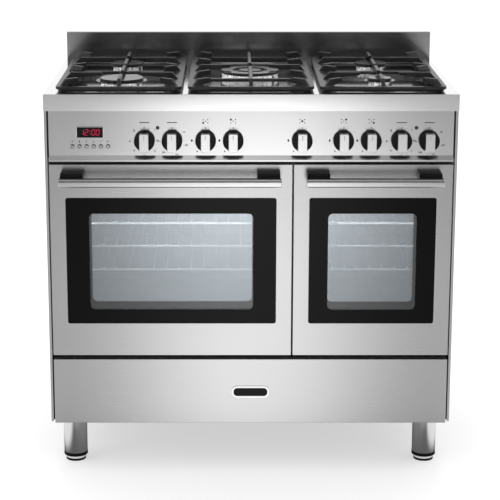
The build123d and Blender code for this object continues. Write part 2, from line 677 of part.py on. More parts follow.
def door_liner(name):
    x0, x1 = DOORS[name]
    y0 = Y_LINER - SHEET
    x_in = (x0 + SHEET, x1 - SHEET)
    z_in = (Z_DOOR + SHEET, Z_DOOR_TOP - SHEET)
    liner = block(*x_in, y0 - LINER_RIM, Y_LINER, *z_in)
    liner -= block(x_in[0] + SHEET, x_in[1] - SHEET, y0 - LINER_RIM - 1, y0,
                   z_in[0] + SHEET, z_in[1] - SHEET)
    for leaf_x, side in hinge_places(name):
        near = leaf_x + side * HINGE_ARM / 2
        edges = sorted((near, near + side * (HINGE_LEAF[0] + 2 * HINGE_SLOT_GAP)))
        liner -= block(*edges, y0 - LINER_RIM - 1, y0, Z_DOOR, z_in[0] + SHEET + 1)
    return liner - inner_window(name, y0 - 1, Y_LINER + 1, 0, INNER_WINDOW_RADIUS) - hinge_slots(name)


def door_panes(name):
    outer = glass_opening(name, FRONT + SHEET, FRONT + SHEET + GLASS_THICKNESS, GLASS_LAP, GLASS_RADIUS)
    y1 = Y_LINER - SHEET
    inner = inner_window(name, y1 - GLASS_THICKNESS, y1, GLASS_LAP, INNER_WINDOW_RADIUS)
    return group([outer, inner])


def door_handle(name):
    x0, x1 = DOORS[name]
    x0, x1 = x0 + HANDLE_MARGIN, x1 - HANDLE_MARGIN
    z = Z_DOOR_TOP - HANDLE_DROP
    depth, height = HANDLE_BAR
    y0 = FRONT - HANDLE_REACH
    bar = block(x0, x1, y0, y0 + depth, z - height / 2, z + height / 2)
    front_edges = bar.edges().filter_by(Axis.X).group_by(Axis.Y)[0]
    pieces = [fillet(front_edges, HANDLE_ROUND)]
    width, tall = BRACKET_SIZE
    for start in (x0 + BRACKET_INSET, x1 - BRACKET_INSET - width):
        low = z - BRACKET_DROP
        pieces.append(block(start, start + width, y0 + depth, FRONT, low, low + tall))
    return group(pieces)


# Storage drawer

def drawer_front():
    y1 = FRONT + DRAWER_FRONT_DEPTH
    front = block(-DOOR_EDGE, DOOR_EDGE, FRONT, y1, LEG_HEIGHT, Z_DRAWER_TOP)
    return front - block(-DOOR_EDGE + SHEET, DOOR_EDGE - SHEET, FRONT + SHEET, y1 - SHEET,
                         LEG_HEIGHT + SHEET, Z_DRAWER_TOP - SHEET)


def drawer_tray():
    half = INNER_HALF - TRAY_SIDE_GAP
    y0 = FRONT + DRAWER_FRONT_DEPTH
    y1 = y0 + TRAY_DEPTH
    z0 = LEG_HEIGHT + SHEET + REST_GAP
    z1 = z0 + SHEET
    top = z0 + TRAY_HEIGHT
    sheets = [block(-half, half, y0, y1, z0, z1)]
    sheets += [block(-half, half, y, y + SHEET, z1, top) for y in (y0, y1 - SHEET)]
    sheets += [block(x, x + SHEET, y0 + SHEET, y1 - SHEET, z1, top) for x in (-half, half - SHEET)]
    return group(sheets)


def name_plate():
    width, depth, height = PLATE_SIZE
    z = LEG_HEIGHT + PLATE_RISE
    return panel(-width / 2, width / 2, FRONT - depth, FRONT, z - height / 2, z + height / 2, PLATE_RADIUS)


# Hob pieces

def crown_radius(name):
    return CAP_DIAMETERS[name] / 2 - CAP_LAP


def cup_radius(name):
    return crown_radius(name) - CUP_STEP


def burner_bodies():
    pieces = []
    for name, (x, y) in BURNERS.items():
        body = rod_z(x, y, Z_WELL, Z_HOB + CROWN_RISE, crown_radius(name))
        body += rod_z(x, y, Z_WELL - BURNER_CUP_DEPTH, Z_WELL, cup_radius(name))
        pieces.append(body)
    return group(pieces)


def burner_caps():
    pieces = []
    for name, (x, y) in BURNERS.items():
        radius = CAP_DIAMETERS[name] / 2
        cap = rod_z(x, y, Z_HOB + CROWN_RISE, Z_HOB + CAP_RISE, radius)
        if name == "centre":
            cap -= rod_z(x, y, Z_HOB, Z_HOB + CAP_RISE + 1, radius - WOK_RING_WIDTH)
            pieces.append(rod_z(x, y, Z_HOB + CROWN_RISE, Z_HOB + CAP_RISE, WOK_INNER_CAP / 2))
        pieces.append(cap)
    return group(pieces)


def finger(base, target, length, over):
    """A pan-support blade from its frame towards a burner, level on top and thinner towards its tip."""
    low, high = Z_HOB + SUPPORT_LIFT, Z_HOB + FINGER_RISE
    outline = [(0, low), (0, low + SUPPORT_FRAME), (FINGER_SLOPE, high), (length, high)]
    if over > 0:
        under = Z_HOB + FINGER_UNDER
        outline += [(length, under), (length - over, under)]
    else:
        outline.append((length, high - FINGER_TIP * SHORT_FINGER / length))
    outline += [(FINGER_BOSS + FINGER_NECK, high - FINGER_ROOT), (FINGER_BOSS, low)]
    face = Plane.XZ * make_face(Polyline(*outline, close=True))
    blade = Pos(0, FINGER_WIDTH / 2, 0) * extrude(face, FINGER_WIDTH)
    turn = math.degrees(math.atan2(target[1] - base[1], target[0] - base[0]))
    return Pos(base[0], base[1], 0) * Rot(0, 0, turn) * blade


def support_fingers(name):
    """Base point, point aimed at, length and stretch over the cap of each blade of one support."""
    x = SUPPORTS[name]
    to_side = SUPPORT_WIDTH / 2 - SUPPORT_BAND[0] / 2
    to_end = SUPPORT_DEPTH / 2 - SUPPORT_BAND[1] / 2
    burners = [place for place in BURNERS if BURNERS[place][0] == x]
    fingers = []
    for place in burners:
        centre = BURNERS[place]
        clear = CAP_DIAMETERS[place] / 2 + CAP_CLEARANCE
        fingers += [((x + side * to_side, centre[1]), centre, to_side - SIDE_FREE, 0) for side in (-1, 1)]
        inner_end = SUPPORT_Y if len(burners) > 1 else None
        for along in (-1, 1):
            end = SUPPORT_Y + along * to_end
            if inner_end is not None and along * (centre[1] - SUPPORT_Y) < 0:
                end = inner_end
            length = abs(end - centre[1]) - END_FREE
            fingers.append(((x, end), centre, length, clear - END_FREE))
    for side in (-1, 1):
        for along in (-1, 1):
            corner = (x + side * to_side, SUPPORT_Y + along * to_end)
            aim = (x, SUPPORT_Y + along * BURNER_PITCH / 2)
            fingers.append((corner, aim, SHORT_FINGER, 0))
        for offset in crossbar_offsets(name):
            base = (x + side * to_side, SUPPORT_Y + offset)
            fingers += [(base, BURNERS[place], SHORT_FINGER, 0) for place in burners]
    return fingers


def crossbar_offsets(name):
    return (-CENTRE_BAR, CENTRE_BAR) if name == "centre" else (0.0,)


def pan_support(name):
    x = SUPPORTS[name]
    low = Z_HOB + SUPPORT_LIFT
    top = low + SUPPORT_FRAME
    half_width, half_depth = SUPPORT_WIDTH / 2, SUPPORT_DEPTH / 2
    side_band, end_band = SUPPORT_BAND
    plate = slab(x - half_width, x + half_width, SUPPORT_Y - half_depth, SUPPORT_Y + half_depth,
                 low, top, SUPPORT_RADIUS)
    frame = plate - slab(x - half_width + side_band, x + half_width - side_band,
                         SUPPORT_Y - half_depth + end_band, SUPPORT_Y + half_depth - end_band,
                         low - 1, top + 1, SUPPORT_RADIUS / 2)
    inset, width = SUPPORT_RIB
    rib, hollow = [slab(x - half_width + edge, x + half_width - edge, SUPPORT_Y - half_depth + edge,
                        SUPPORT_Y + half_depth - edge, Z_HOB + RIB_GAP, low, SUPPORT_RADIUS - edge)
                   for edge in (inset, inset + width)]
    frame += rib - hollow
    to_side = half_width - side_band / 2
    for offset in crossbar_offsets(name):
        y = SUPPORT_Y + offset
        frame += block(x - to_side, x + to_side, y - SUPPORT_BAR / 2, y + SUPPORT_BAR / 2, low, top)
    for base, aim, length, over in support_fingers(name):
        frame += rod_z(*base, low, top, FINGER_BOSS) & plate
        frame += finger(base, aim, length, over)
    for across in (-1, 1):
        for along in (-1, 1):
            foot_x = x + across * (half_width - side_band / 2 - WELL_INSET)
            foot_y = SUPPORT_Y + along * (half_depth - SUPPORT_RADIUS - WELL_INSET)
            frame += rod_z(foot_x, foot_y, Z_WELL + REST_GAP, low, SUPPORT_FOOT / 2)
    return frame


# Legs

def leg_tubes():
    pieces = []
    for x, y in LEG_PLACES:
        outer = LEG_DIAMETER / 2
        tube = rod_z(x, y, Z_COLLAR + COLLAR_HEIGHT, LEG_HEIGHT, outer)
        tube -= rod_z(x, y, Z_COLLAR, LEG_HEIGHT + 1, outer - LEG_WALL)
        collar = rod_z(x, y, Z_COLLAR, Z_COLLAR + COLLAR_HEIGHT, COLLAR_DIAMETER / 2)
        collar -= rod_z(x, y, 0, LEG_HEIGHT, STUD_DIAMETER / 2 + RUN_GAP)
        pieces += [tube, collar]
    return group(pieces)


def levelling_feet():
    pieces = []
    for x, y in LEG_PLACES:
        foot = rod_z(x, y, 0, PAD_HEIGHT, PAD_DIAMETER / 2)
        foot += rod_z(x, y, PAD_HEIGHT, PAD_HEIGHT + FOOT_HEIGHT, FOOT_DIAMETER / 2)
        foot += rod_z(x, y, PAD_HEIGHT + FOOT_HEIGHT, PAD_HEIGHT + FOOT_HEIGHT + STUD_LENGTH,
                      STUD_DIAMETER / 2)
        pieces.append(foot)
    return group(pieces)


# Mains connection

def terminal_box():
    width, depth, height = TERMINAL_SIZE
    box = block(TERMINAL_X - width / 2, TERMINAL_X + width / 2, Y_REAR - depth, Y_REAR,
                TERMINAL_Z - height / 2, TERMINAL_Z + height / 2)
    box += rod_y(TERMINAL_X, Y_REAR, Y_REAR + GLAND_LENGTH, TERMINAL_Z, GLAND_RADIUS)
    return box - rod_y(TERMINAL_X, Y_REAR - depth + SHEET, Y_REAR + GLAND_LENGTH + 1,
                       TERMINAL_Z, GLAND_BORE)


def all_parts():
    parts = {
        "side_panels": side_panels(),
        "base_pan": base_pan(),
        "rear_panel": rear_panel(),
        "front_frame": front_frame(),
        "hob_top": hob_top(),
        "splashback": splashback(),
        "control_panel": control_panel(),
        "clock_module": clock_module(),
        "indicator_lamps": indicator_lamps(),
        "oven_switches": oven_switches(),
        "gas_manifold": gas_manifold(),
        "main_oven_cavity": oven_cavity("main"),
        "side_oven_cavity": oven_cavity("side"),
        "oven_racks": oven_racks(),
        "heating_elements": heating_elements(),
        "fan_unit": fan_unit(),
        "fan_blade": fan_blade(),
        "door_seals": door_seals(),
        "hinge_brackets": hinge_brackets(),
        "drawer_front": drawer_front(),
        "drawer_tray": drawer_tray(),
        "name_plate": name_plate(),
        "burner_bodies": burner_bodies(),
        "burner_caps": burner_caps(),
        "leg_tubes": leg_tubes(),
        "levelling_feet": levelling_feet(),
        "terminal_box": terminal_box(),
    }
    for name in DOORS:
        parts[name + "_door_skin"] = door_skin(name)
        parts[name + "_door_liner"] = door_liner(name)
        parts[name + "_door_panes"] = door_panes(name)
        parts[name + "_door_handle"] = door_handle(name)
        parts[name + "_door_hinges"] = hinge_leaves(name)
    for name in SUPPORTS:
        parts[name + "_pan_support"] = pan_support(name)
    for number, x in enumerate(BUTTON_X, 1):
        parts["clock_button_" + str(number)] = clock_button(x)
    for number, x in enumerate(KNOB_X, 1):
        is_gas = number in GAS_KNOBS
        parts["knob_" + str(number)] = knob(x, not is_gas)
        if is_gas:
            parts["gas_spindle_" + str(number)] = gas_spindle(x)
    return parts


os.makedirs("parts", exist_ok=True)
for node, shape in all_parts().items():
    export_step(shape, "parts/" + node + ".step")
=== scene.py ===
"""Looks for a wide steel range cooker with a gas hob, two glazed ovens and a storage drawer."""
from math import atan2, cos, pi, radians, sin

import bmesh
import bpy
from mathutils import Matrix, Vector


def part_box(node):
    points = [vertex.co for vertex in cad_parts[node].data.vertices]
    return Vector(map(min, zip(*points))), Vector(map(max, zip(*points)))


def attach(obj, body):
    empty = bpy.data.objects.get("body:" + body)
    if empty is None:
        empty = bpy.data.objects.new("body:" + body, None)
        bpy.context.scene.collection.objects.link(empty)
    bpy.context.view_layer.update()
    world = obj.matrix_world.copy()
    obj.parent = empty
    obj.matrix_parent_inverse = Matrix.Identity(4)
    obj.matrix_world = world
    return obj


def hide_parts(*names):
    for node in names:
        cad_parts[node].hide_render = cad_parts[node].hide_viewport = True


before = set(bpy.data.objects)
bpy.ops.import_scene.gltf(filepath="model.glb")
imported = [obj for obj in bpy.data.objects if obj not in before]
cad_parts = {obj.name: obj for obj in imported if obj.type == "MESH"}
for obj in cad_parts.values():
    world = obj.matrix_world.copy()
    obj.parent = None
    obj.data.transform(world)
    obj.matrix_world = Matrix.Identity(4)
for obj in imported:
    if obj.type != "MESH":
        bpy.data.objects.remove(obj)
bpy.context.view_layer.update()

MM = 0.001
TURNS = {"X": (0, pi / 2, 0), "Y": (pi / 2, 0, 0), "Z": (0, 0, 0)}


# Shader signals and looks

class Signal:
    """One shader value that can be added, multiplied and compared in Python."""

    def __init__(self, look, socket):
        self.look = look
        self.socket = socket

    def math(self, operation, first, second=0.0):
        return self.look.node("ShaderNodeMath", {"operation": operation}, {0: first, 1: second})

    def __add__(self, other):
        return self.math("ADD", self, other)

    def __radd__(self, other):
        return self.math("ADD", other, self)

    def __sub__(self, other):
        return self.math("SUBTRACT", self, other)

    def __rsub__(self, other):
        return self.math("SUBTRACT", other, self)

    def __mul__(self, other):
        return self.math("MULTIPLY", self, other)

    def __rmul__(self, other):
        return self.math("MULTIPLY", other, self)

    def __truediv__(self, other):
        return self.math("DIVIDE", self, other)

    def __abs__(self):
        return self.math("ABSOLUTE", self)

    def above(self, limit):
        return self.math("GREATER_THAN", self, limit)

    def at_least(self, limit):
        return self.math("MAXIMUM", self, limit)

    def power(self, exponent):
        return self.math("POWER", self, exponent)

    def output(self, name):
        return Signal(self.look, self.socket.node.outputs[name])


class Look:
    """The node tree of a material or of the world, built from signals."""

    def __init__(self, owner):
        owner.use_nodes = True
        self.owner = owner
        self.tree = owner.node_tree
        self.tree.nodes.clear()

    def node(self, kind, settings, inputs, output=0):
        made = self.tree.nodes.new(kind)
        for key, value in settings.items():
            setattr(made, key, value)
        for key, value in inputs.items():
            if isinstance(value, Signal):
                self.tree.links.new(value.socket, made.inputs[key])
            else:
                made.inputs[key].default_value = value
        return Signal(self, made.outputs[output])

    def place(self):
        return self.node("ShaderNodeTexCoord", {}, {}, "Object")

    def stretched(self, scale):
        return self.node("ShaderNodeMapping", {}, {"Vector": self.place(), "Scale": scale})

    def axes(self, vector):
        split = self.node("ShaderNodeSeparateXYZ", {}, {0: vector})
        return split, split.output("Y"), split.output("Z")

    def noise(self, vector, scale, detail):
        return self.node("ShaderNodeTexNoise", {}, {"Vector": vector, "Scale": scale, "Detail": detail})

    def ramp(self, value, start, end, low, high):
        settings = {"interpolation_type": "SMOOTHSTEP"}
        return self.node("ShaderNodeMapRange", settings, {0: value, 1: start, 2: end, 3: low, 4: high})

    def blend(self, factor, first, second):
        return self.node("ShaderNodeMix", {"data_type": "RGBA"}, {0: factor, 6: first, 7: second}, 2)

    def bump(self, height, strength, distance):
        return self.node("ShaderNodeBump", {}, {"Height": height, "Strength": strength, "Distance": distance})

    def mix(self, factor, first, second):
        return self.node("ShaderNodeMixShader", {}, {0: factor, 1: first, 2: second})

    def principled(self, inputs):
        return self.node("ShaderNodeBsdfPrincipled", {}, inputs)

    def close(self, shader, kind="Material"):
        end = self.tree.nodes.new("ShaderNodeOutput" + kind)
        self.tree.links.new(shader.socket, end.inputs["Surface"])
        return self.owner


def new_look(name):
    """A material with an empty node tree."""
    return Look(bpy.data.materials.new(name))


def grey(value):
    """An opaque neutral colour."""
    return (value, value, value, 1.0)


def shaded(colour, share):
    """A darker share of an opaque colour."""
    return tuple(share * part for part in colour[:3]) + (1.0,)


# Materials

LINE_TONES = (0.97, 1.03)
LINE_BUMP = (0.01, 0.0001)
LINE_ROUGH = 0.06
CLOUD_ROUGH = 0.03
ROUGH_MIDDLE = 0.045
HOB_ROUGH = 0.135
HOB_POLISH = 0.06
TOP_FRONT = (1.5 * MM, 4 * MM)
TOP_DEPTH = (6 * MM, 5 * MM)
# Painted shade on the hob: the heights below the top over which the painted shade at the bottom of the wells
# fades out, and how dark it is as a share of the steel's tone
WELL_DEPTH = (3 * MM, 1 * MM)
WELL_PAINTED_SHADE = 0.48
# Painted light on the rack wire: the span past the front rail over which the painted highlight gives way to
# painted shade
PAINTED_RAIL_LIGHT_REACH = (5 * MM, 12 * MM)
GLASS_SHINE = (0.965, 0.99, 0.995, 1.0)
GLASS_IOR = 1.5
MIRROR_SHARES = (0.75, 1.3)


def brush_lines(look, grain, tone):
    """The pattern, colour and roughness of fine lines along the axis that the grain scale leaves long."""
    streak = look.noise(look.stretched(grain), 1.0, 3.0)
    cloud = look.noise(look.place(), 5.0, 2.0)
    colour = look.blend(streak, grey(tone * LINE_TONES[0]), grey(tone * LINE_TONES[1]))
    return streak, colour, streak * LINE_ROUGH + cloud * CLOUD_ROUGH


def brushed_metal(name, grain, tone, rough, anisotropic=0.7):
    """Metal with brushed lines all one way."""
    look = new_look(name)
    streak, colour, uneven = brush_lines(look, grain, tone)
    return look.close(look.principled({
        "Base Color": colour,
        "Metallic": 1.0,
        "Roughness": uneven + (rough - ROUGH_MIDDLE),
        "Anisotropic": anisotropic,
        "Anisotropic Rotation": 0.25,
        "Normal": look.bump(streak, *LINE_BUMP),
    }))


def hob_metal_with_painted_shade(name, grain, tone, front, level):
    """Steel that is brushed on the folded edge and polished on the flat top and in the wells, whose bottoms
    are painted darker as painted shade.
    """
    look = new_look(name)
    streak, colour, uneven = brush_lines(look, grain, tone)
    _, y, z = look.axes(look.place())
    behind_fold = look.ramp(y, front + TOP_FRONT[0], front + TOP_FRONT[1], 0.0, 1.0)
    flat = behind_fold * look.ramp(z, level - TOP_DEPTH[0], level - TOP_DEPTH[1], 0.0, 1.0)
    # Painted shade: the colour at the bottom of the wells is darkened where shade falls into them
    painted_shade_in_wells = flat * look.ramp(z, level - WELL_DEPTH[0], level - WELL_DEPTH[1], 1.0, 0.0)
    return look.close(look.principled({
        "Base Color": look.blend(painted_shade_in_wells, colour, grey(tone * WELL_PAINTED_SHADE)),
        "Metallic": 1.0,
        "Roughness": uneven + HOB_ROUGH - flat * HOB_POLISH,
        "Normal": look.bump(streak, *LINE_BUMP),
    }))


def rack_metal_with_painted_light(name, front):
    """Nickelled wire, with a painted highlight of pale colour along the front rail and painted shade of
    darker colour on the wires further back.
    """
    look = new_look(name)
    cloud = look.noise(look.place(), 90.0, 2.0)
    _, y, _ = look.axes(look.place())
    # Painted light: pale, unmetallic colour on the front rail as a painted highlight, dark metal colour on
    # the wires further back as painted shade
    painted_shade_past_rail = look.ramp(y, front + PAINTED_RAIL_LIGHT_REACH[0], front + PAINTED_RAIL_LIGHT_REACH[1], 0.0, 1.0)
    return look.close(look.principled({
        "Base Color": look.blend(painted_shade_past_rail, grey(0.86), grey(0.26)),
        "Metallic": painted_shade_past_rail * 0.8,
        "Roughness": cloud * 0.10 + 0.28,
    }))


def plain_metal(name, colour, rough, wear=0.10):
    """Metal with a soft, cloudy change of polish."""
    look = new_look(name)
    cloud = look.noise(look.place(), 60.0, 3.0)
    return look.close(look.principled({
        "Base Color": look.blend(cloud, shaded(colour, 0.9), colour),
        "Metallic": 1.0,
        "Roughness": cloud * wear + (rough - wear / 2),
    }))


def galvanised(name):
    """Zinc coated sheet with faint crystals."""
    look = new_look(name)
    crystal = look.node("ShaderNodeTexVoronoi", {}, {"Vector": look.place(), "Scale": 70.0}, "Color")
    tone = look.axes(crystal)[0]
    return look.close(look.principled({
        "Base Color": look.blend(tone, grey(0.42), grey(0.52)),
        "Metallic": 0.9,
        "Roughness": tone * 0.14 + 0.36,
    }))


def enamel(name, colour, speck, rough):
    """Vitreous enamel with fine specks."""
    look = new_look(name)
    grain = look.noise(look.place(), 900.0, 1.0)
    wave = look.noise(look.place(), 25.0, 2.0)
    return look.close(look.principled({
        "Base Color": look.blend(grain.above(0.69), colour, speck),
        "Roughness": wave * 0.10 + (rough - 0.05),
        "Normal": look.bump(wave, 0.01, 0.002),
    }))


def cast_iron(name):
    """Matt black enamelled casting with a grainy skin."""
    look = new_look(name)
    grain = look.noise(look.place(), 700.0, 3.0)
    cloud = look.noise(look.place(), 30.0, 2.0)
    return look.close(look.principled({
        "Base Color": look.blend(cloud, grey(0.006), grey(0.014)),
        "Roughness": grain * 0.16 + 0.24,
        "Normal": look.bump(grain, 0.22, 0.0006),
    }))


def moulded(name, colour, rough, grain_size=900.0, depth=0.15, shine=0.3):
    """Moulded plastic, rubber or paint with a fine texture."""
    look = new_look(name)
    grain = look.noise(look.place(), grain_size, 2.0)
    return look.close(look.principled({
        "Base Color": look.blend(grain, shaded(colour, 0.85), colour),
        "Roughness": grain * 0.12 + (rough - 0.06),
        "Specular IOR Level": shine,
        "Normal": look.bump(grain, depth, 0.0002),
    }))


def glowing(name, colour, strength):
    """A lit display segment."""
    look = new_look(name)
    pulse = look.noise(look.place(), 400.0, 1.0)
    return look.close(look.principled({
        "Base Color": (0.05, 0.0, 0.0, 1.0),
        "Roughness": 0.4,
        "Emission Color": look.blend(pulse, shaded(colour, 0.85), colour),
        "Emission Strength": strength,
    }))


def printed_glass(name, low, high, corner, tint, mirror):
    """Glass with a black printed border round a clear window with round corners, seen in X and Z."""
    look = new_look(name)
    x, _, z = look.axes(look.place())
    middle = (low + high) / 2
    half = (high - low) / 2
    over_x = abs(x - middle.x) - (half.x - corner)
    over_z = abs(z - middle.z) - (half.z - corner)
    reach = (over_x.at_least(0.0).power(2.0) + over_z.at_least(0.0).power(2.0)).power(0.5)
    cloud = look.noise(look.place(), 8.0, 2.0)
    ink = look.principled({
        "Base Color": look.blend(cloud, grey(0.001), grey(0.002)),
        "Roughness": cloud * 0.04 + 0.05,
        "Specular IOR Level": 0.13,
    })
    clear = look.node("ShaderNodeBsdfTransparent", {}, {"Color": tint})
    shine = look.node("ShaderNodeBsdfGlossy", {}, {"Color": GLASS_SHINE, "Roughness": 0.04})
    fresnel = look.node("ShaderNodeFresnel", {}, {"IOR": GLASS_IOR})
    coating = look.ramp(z, low.z, high.z, mirror * MIRROR_SHARES[0], mirror * MIRROR_SHARES[1])
    pane = look.mix(fresnel + coating, clear, shine)
    return look.close(look.mix(reach.above(corner), pane, ink))


# Mesh helpers

def deselect():
    """Leave edit mode and clear the selection."""
    if bpy.context.mode != "OBJECT":
        bpy.ops.object.mode_set(mode="OBJECT")
    bpy.ops.object.select_all(action="DESELECT")


def activate(piece):
    """Make one piece the only selected and active one."""
    deselect()
    piece.select_set(True)
    bpy.context.view_layer.objects.active = piece


def settle():
    """Write the active piece's place, turn and size into its mesh."""
    bpy.ops.object.transform_apply(location=True, rotation=True, scale=True)
    return bpy.context.active_object


def cube(low, high):
    """A box between two corners."""
    deselect()
    low = Vector(low)
    high = Vector(high)
    bpy.ops.mesh.primitive_cube_add(size=1.0, location=(low + high) / 2, scale=high - low)
    return settle()


def drum(centre, radius, depth, axis="Z", sides=64):
    """A round bar about an axis."""
    deselect()
    bpy.ops.mesh.primitive_cylinder_add(vertices=sides, radius=radius, depth=depth, location=centre,
                                        rotation=TURNS[axis])
    return settle()


def choose(piece, kind, test):
    """Enter edit mode with the faces or edges that pass a test selected."""
    activate(piece)
    bpy.ops.object.mode_set(mode="EDIT")
    bpy.ops.mesh.select_mode(type=kind)
    bpy.ops.mesh.select_all(action="DESELECT")
    mesh = bmesh.from_edit_mesh(piece.data)
    for item in mesh.faces if kind == "FACE" else mesh.edges:
        if test(item):
            item.select_set(True)
    mesh.select_flush_mode()
    bmesh.update_edit_mesh(piece.data)


def facing(direction):
    """A test for faces that look one way."""
    return lambda face: face.normal.dot(Vector(direction)) > 0.9


def along(axis, extra=None):
    """A test for edges parallel to an axis, and past a second test where one is given."""
    def test(edge):
        first, last = (vert.co for vert in edge.verts)
        run = last - first
        parallel = abs(run[axis]) > 0.99 * run.length
        return parallel and (extra is None or extra((first + last) / 2))
    return test


def leave():
    """Go back to object mode."""
    bpy.ops.object.mode_set(mode="OBJECT")


def applied(piece, modifier):
    """Apply a modifier."""
    activate(piece)
    bpy.ops.object.modifier_apply(modifier=modifier.name)
    return piece


def eased(piece, width, segments=2, angle=30):
    """Round off every edge sharper than an angle."""
    edge = piece.modifiers.new("edge", "BEVEL")
    edge.width = width
    edge.segments = segments
    edge.limit_method = "ANGLE"
    edge.angle_limit = radians(angle)
    return applied(piece, edge)


def joined(pieces):
    """Several pieces as one mesh."""
    if len(pieces) > 1:
        activate(pieces[0])
        for piece in pieces[1:]:
            piece.select_set(True)
        bpy.ops.object.join()
    return pieces[0]


def copied(piece, offset):
    """A copy with its own mesh, moved by an offset."""
    activate(piece)
    bpy.ops.object.duplicate(linked=False)
    bpy.ops.transform.translate(value=offset)
    return settle()


def placed(piece, name, look, body, node=None, angle=35):
    """Name a finished piece, give it its look and let it ride on a body."""
    piece.name = name
    piece.data.name = name
    piece.data.materials.clear()
    piece.data.materials.append(look)
    activate(piece)
    bpy.ops.object.shade_smooth_by_angle(angle=radians(angle))
    flat = piece.modifiers.new("flat", "WEIGHTED_NORMAL")
    flat.keep_sharp = True
    applied(piece, flat)
    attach(piece, body)
    if node:
        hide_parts(node)
    return piece


def cad_copy(node):
    """A merged copy of a CAD node, free to be worked on."""
    deselect()
    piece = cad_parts[node].copy()
    piece.data = piece.data.copy()
    for key in list(piece.keys()):
        del piece[key]
    bpy.context.scene.collection.objects.link(piece)
    piece.parent = None
    activate(piece)
    bpy.ops.mesh.customdata_custom_splitnormals_clear()
    bpy.ops.object.mode_set(mode="EDIT")
    bpy.ops.mesh.select_all(action="SELECT")
    bpy.ops.mesh.remove_doubles(threshold=0.00001)
    bpy.ops.mesh.dissolve_limited(angle_limit=radians(1.0))
    leave()
    return piece


# Looks used on several pieces

STEEL = brushed_metal("brushed_steel_front", (5.0, 700.0, 700.0), 0.66, 0.26)
PANEL_STEEL = brushed_metal("brushed_steel_panel", (5.0, 700.0, 700.0), 0.73, 0.19, 0.5)
hob_low, hob_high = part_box("hob_top")
# Hob steel with painted shade at the bottom of its wells
HOB_STEEL_WITH_PAINTED_SHADE = hob_metal_with_painted_shade("brushed_steel_hob_painted_shade", (5.0, 500.0, 500.0), 0.90, hob_low.y, hob_high.z)
SPLASH_STEEL = brushed_metal("brushed_steel_splashback", (5.0, 500.0, 500.0), 0.58, 0.17, 0.3)
SIDE_STEEL = brushed_metal("brushed_steel_side", (500.0, 7.0, 500.0), 0.62, 0.30, 0.4)
BAR_STEEL = brushed_metal("brushed_steel_bar", (9.0, 900.0, 900.0), 0.72, 0.22, 0.5)
LEG_STEEL = brushed_metal("brushed_steel_leg", (600.0, 600.0, 9.0), 0.70, 0.18, 0.3)
GRIP_METAL = brushed_metal("satin_grip", (900.0, 900.0, 9.0), 0.86, 0.24, 0.3)
CHROME = plain_metal("chrome", (0.80, 0.81, 0.82, 1.0), 0.12, 0.05)
BLACK_PLASTIC = moulded("black_plastic", grey(0.006), 0.34, 900.0, 0.15, 0.14)
SATIN_BLACK = moulded("satin_black", grey(0.006), 0.24, 600.0, 0.05, 0.12)
INK = moulded("dark_ink", grey(0.02), 0.5)
PALE_INK = moulded("pale_ink", grey(0.30), 0.5)
RUBBER = moulded("foot_rubber", grey(0.012), 0.7, 500.0, 0.3, 0.2)
FOOT_METAL = moulded("foot_nickel", grey(0.80), 0.26, 400.0, 0.02, 0.7)
ENAMEL = enamel("oven_enamel", (0.30, 0.315, 0.32, 1.0), grey(0.60), 0.44)
CAP_ENAMEL = enamel("cap_enamel", grey(0.014), grey(0.05), 0.15)
IRON = cast_iron("cast_iron")
CROWN_METAL = moulded("crown_alloy", grey(0.92), 0.34, 400.0, 0.1, 0.6)
# Rack wire with painted light: a painted highlight on the front rail, painted shade on the rest
RACK_PAINTED_LIGHT_METAL = rack_metal_with_painted_light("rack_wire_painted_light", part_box("oven_racks")[0].y)
BRASS = plain_metal("brass", (0.72, 0.52, 0.24, 1.0), 0.32)
ZINC = galvanised("galvanised_sheet")


# Folded steel sheets

SHEETS = {
    "hob_top": ("body", HOB_STEEL_WITH_PAINTED_SHADE, 0.8),
    "splashback": ("body", SPLASH_STEEL, 0.8),
    "control_panel": ("body", PANEL_STEEL, 0.6),
    "side_panels": ("body", SIDE_STEEL, 0.6),
    "main_door_skin": ("main_door", STEEL, 1.0),
    "side_door_skin": ("side_door", STEEL, 1.0),
    "drawer_front": ("drawer", STEEL, 1.0),
}
for node, (body, look, width) in SHEETS.items():
    placed(eased(cad_copy(node), width * MM, 2), node + "_sheet", look, body, node)


# Door handles

BAR_DEPTH = 22 * MM
BAR_HEIGHT = 18 * MM
BAR_ROUND = 6 * MM
BRACKET_WIDTH = 50 * MM
BRACKET_INSET = 2 * MM
BRACKET_LIFT = 2 * MM
BRACKET_ROUND = 8 * MM


def handle(name):
    """A round-fronted bar on two black blocks."""
    body = name + "_door"
    node = body + "_handle"
    low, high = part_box(node)
    bar = cube(low, (high.x, low.y + BAR_DEPTH, low.z + BAR_HEIGHT))
    choose(bar, "EDGE", along(0, lambda middle: middle.y < low.y + MM))
    bpy.ops.mesh.bevel(offset=BAR_ROUND, segments=6, affect="EDGES")
    leave()
    placed(eased(bar, 1.2 * MM, 3), body + "_bar", BAR_STEEL, body, node)
    start = low.y + BAR_DEPTH

    def upper_front(middle):
        return middle.y < start + MM and middle.z > low.z + 2 * BRACKET_LIFT

    for side, x in (("left", low.x + BRACKET_INSET), ("right", high.x - BRACKET_INSET - BRACKET_WIDTH)):
        block = cube((x, start, low.z + BRACKET_LIFT), (x + BRACKET_WIDTH, high.y, high.z))
        choose(block, "EDGE", along(0, upper_front))
        bpy.ops.mesh.bevel(offset=BRACKET_ROUND, segments=5, affect="EDGES")
        leave()
        piece = eased(block, 1.6 * MM, 3)
        placed(piece, "%s_%s_bracket" % (body, side), SATIN_BLACK, body, node)


handle("main")
handle("side")


# Knobs

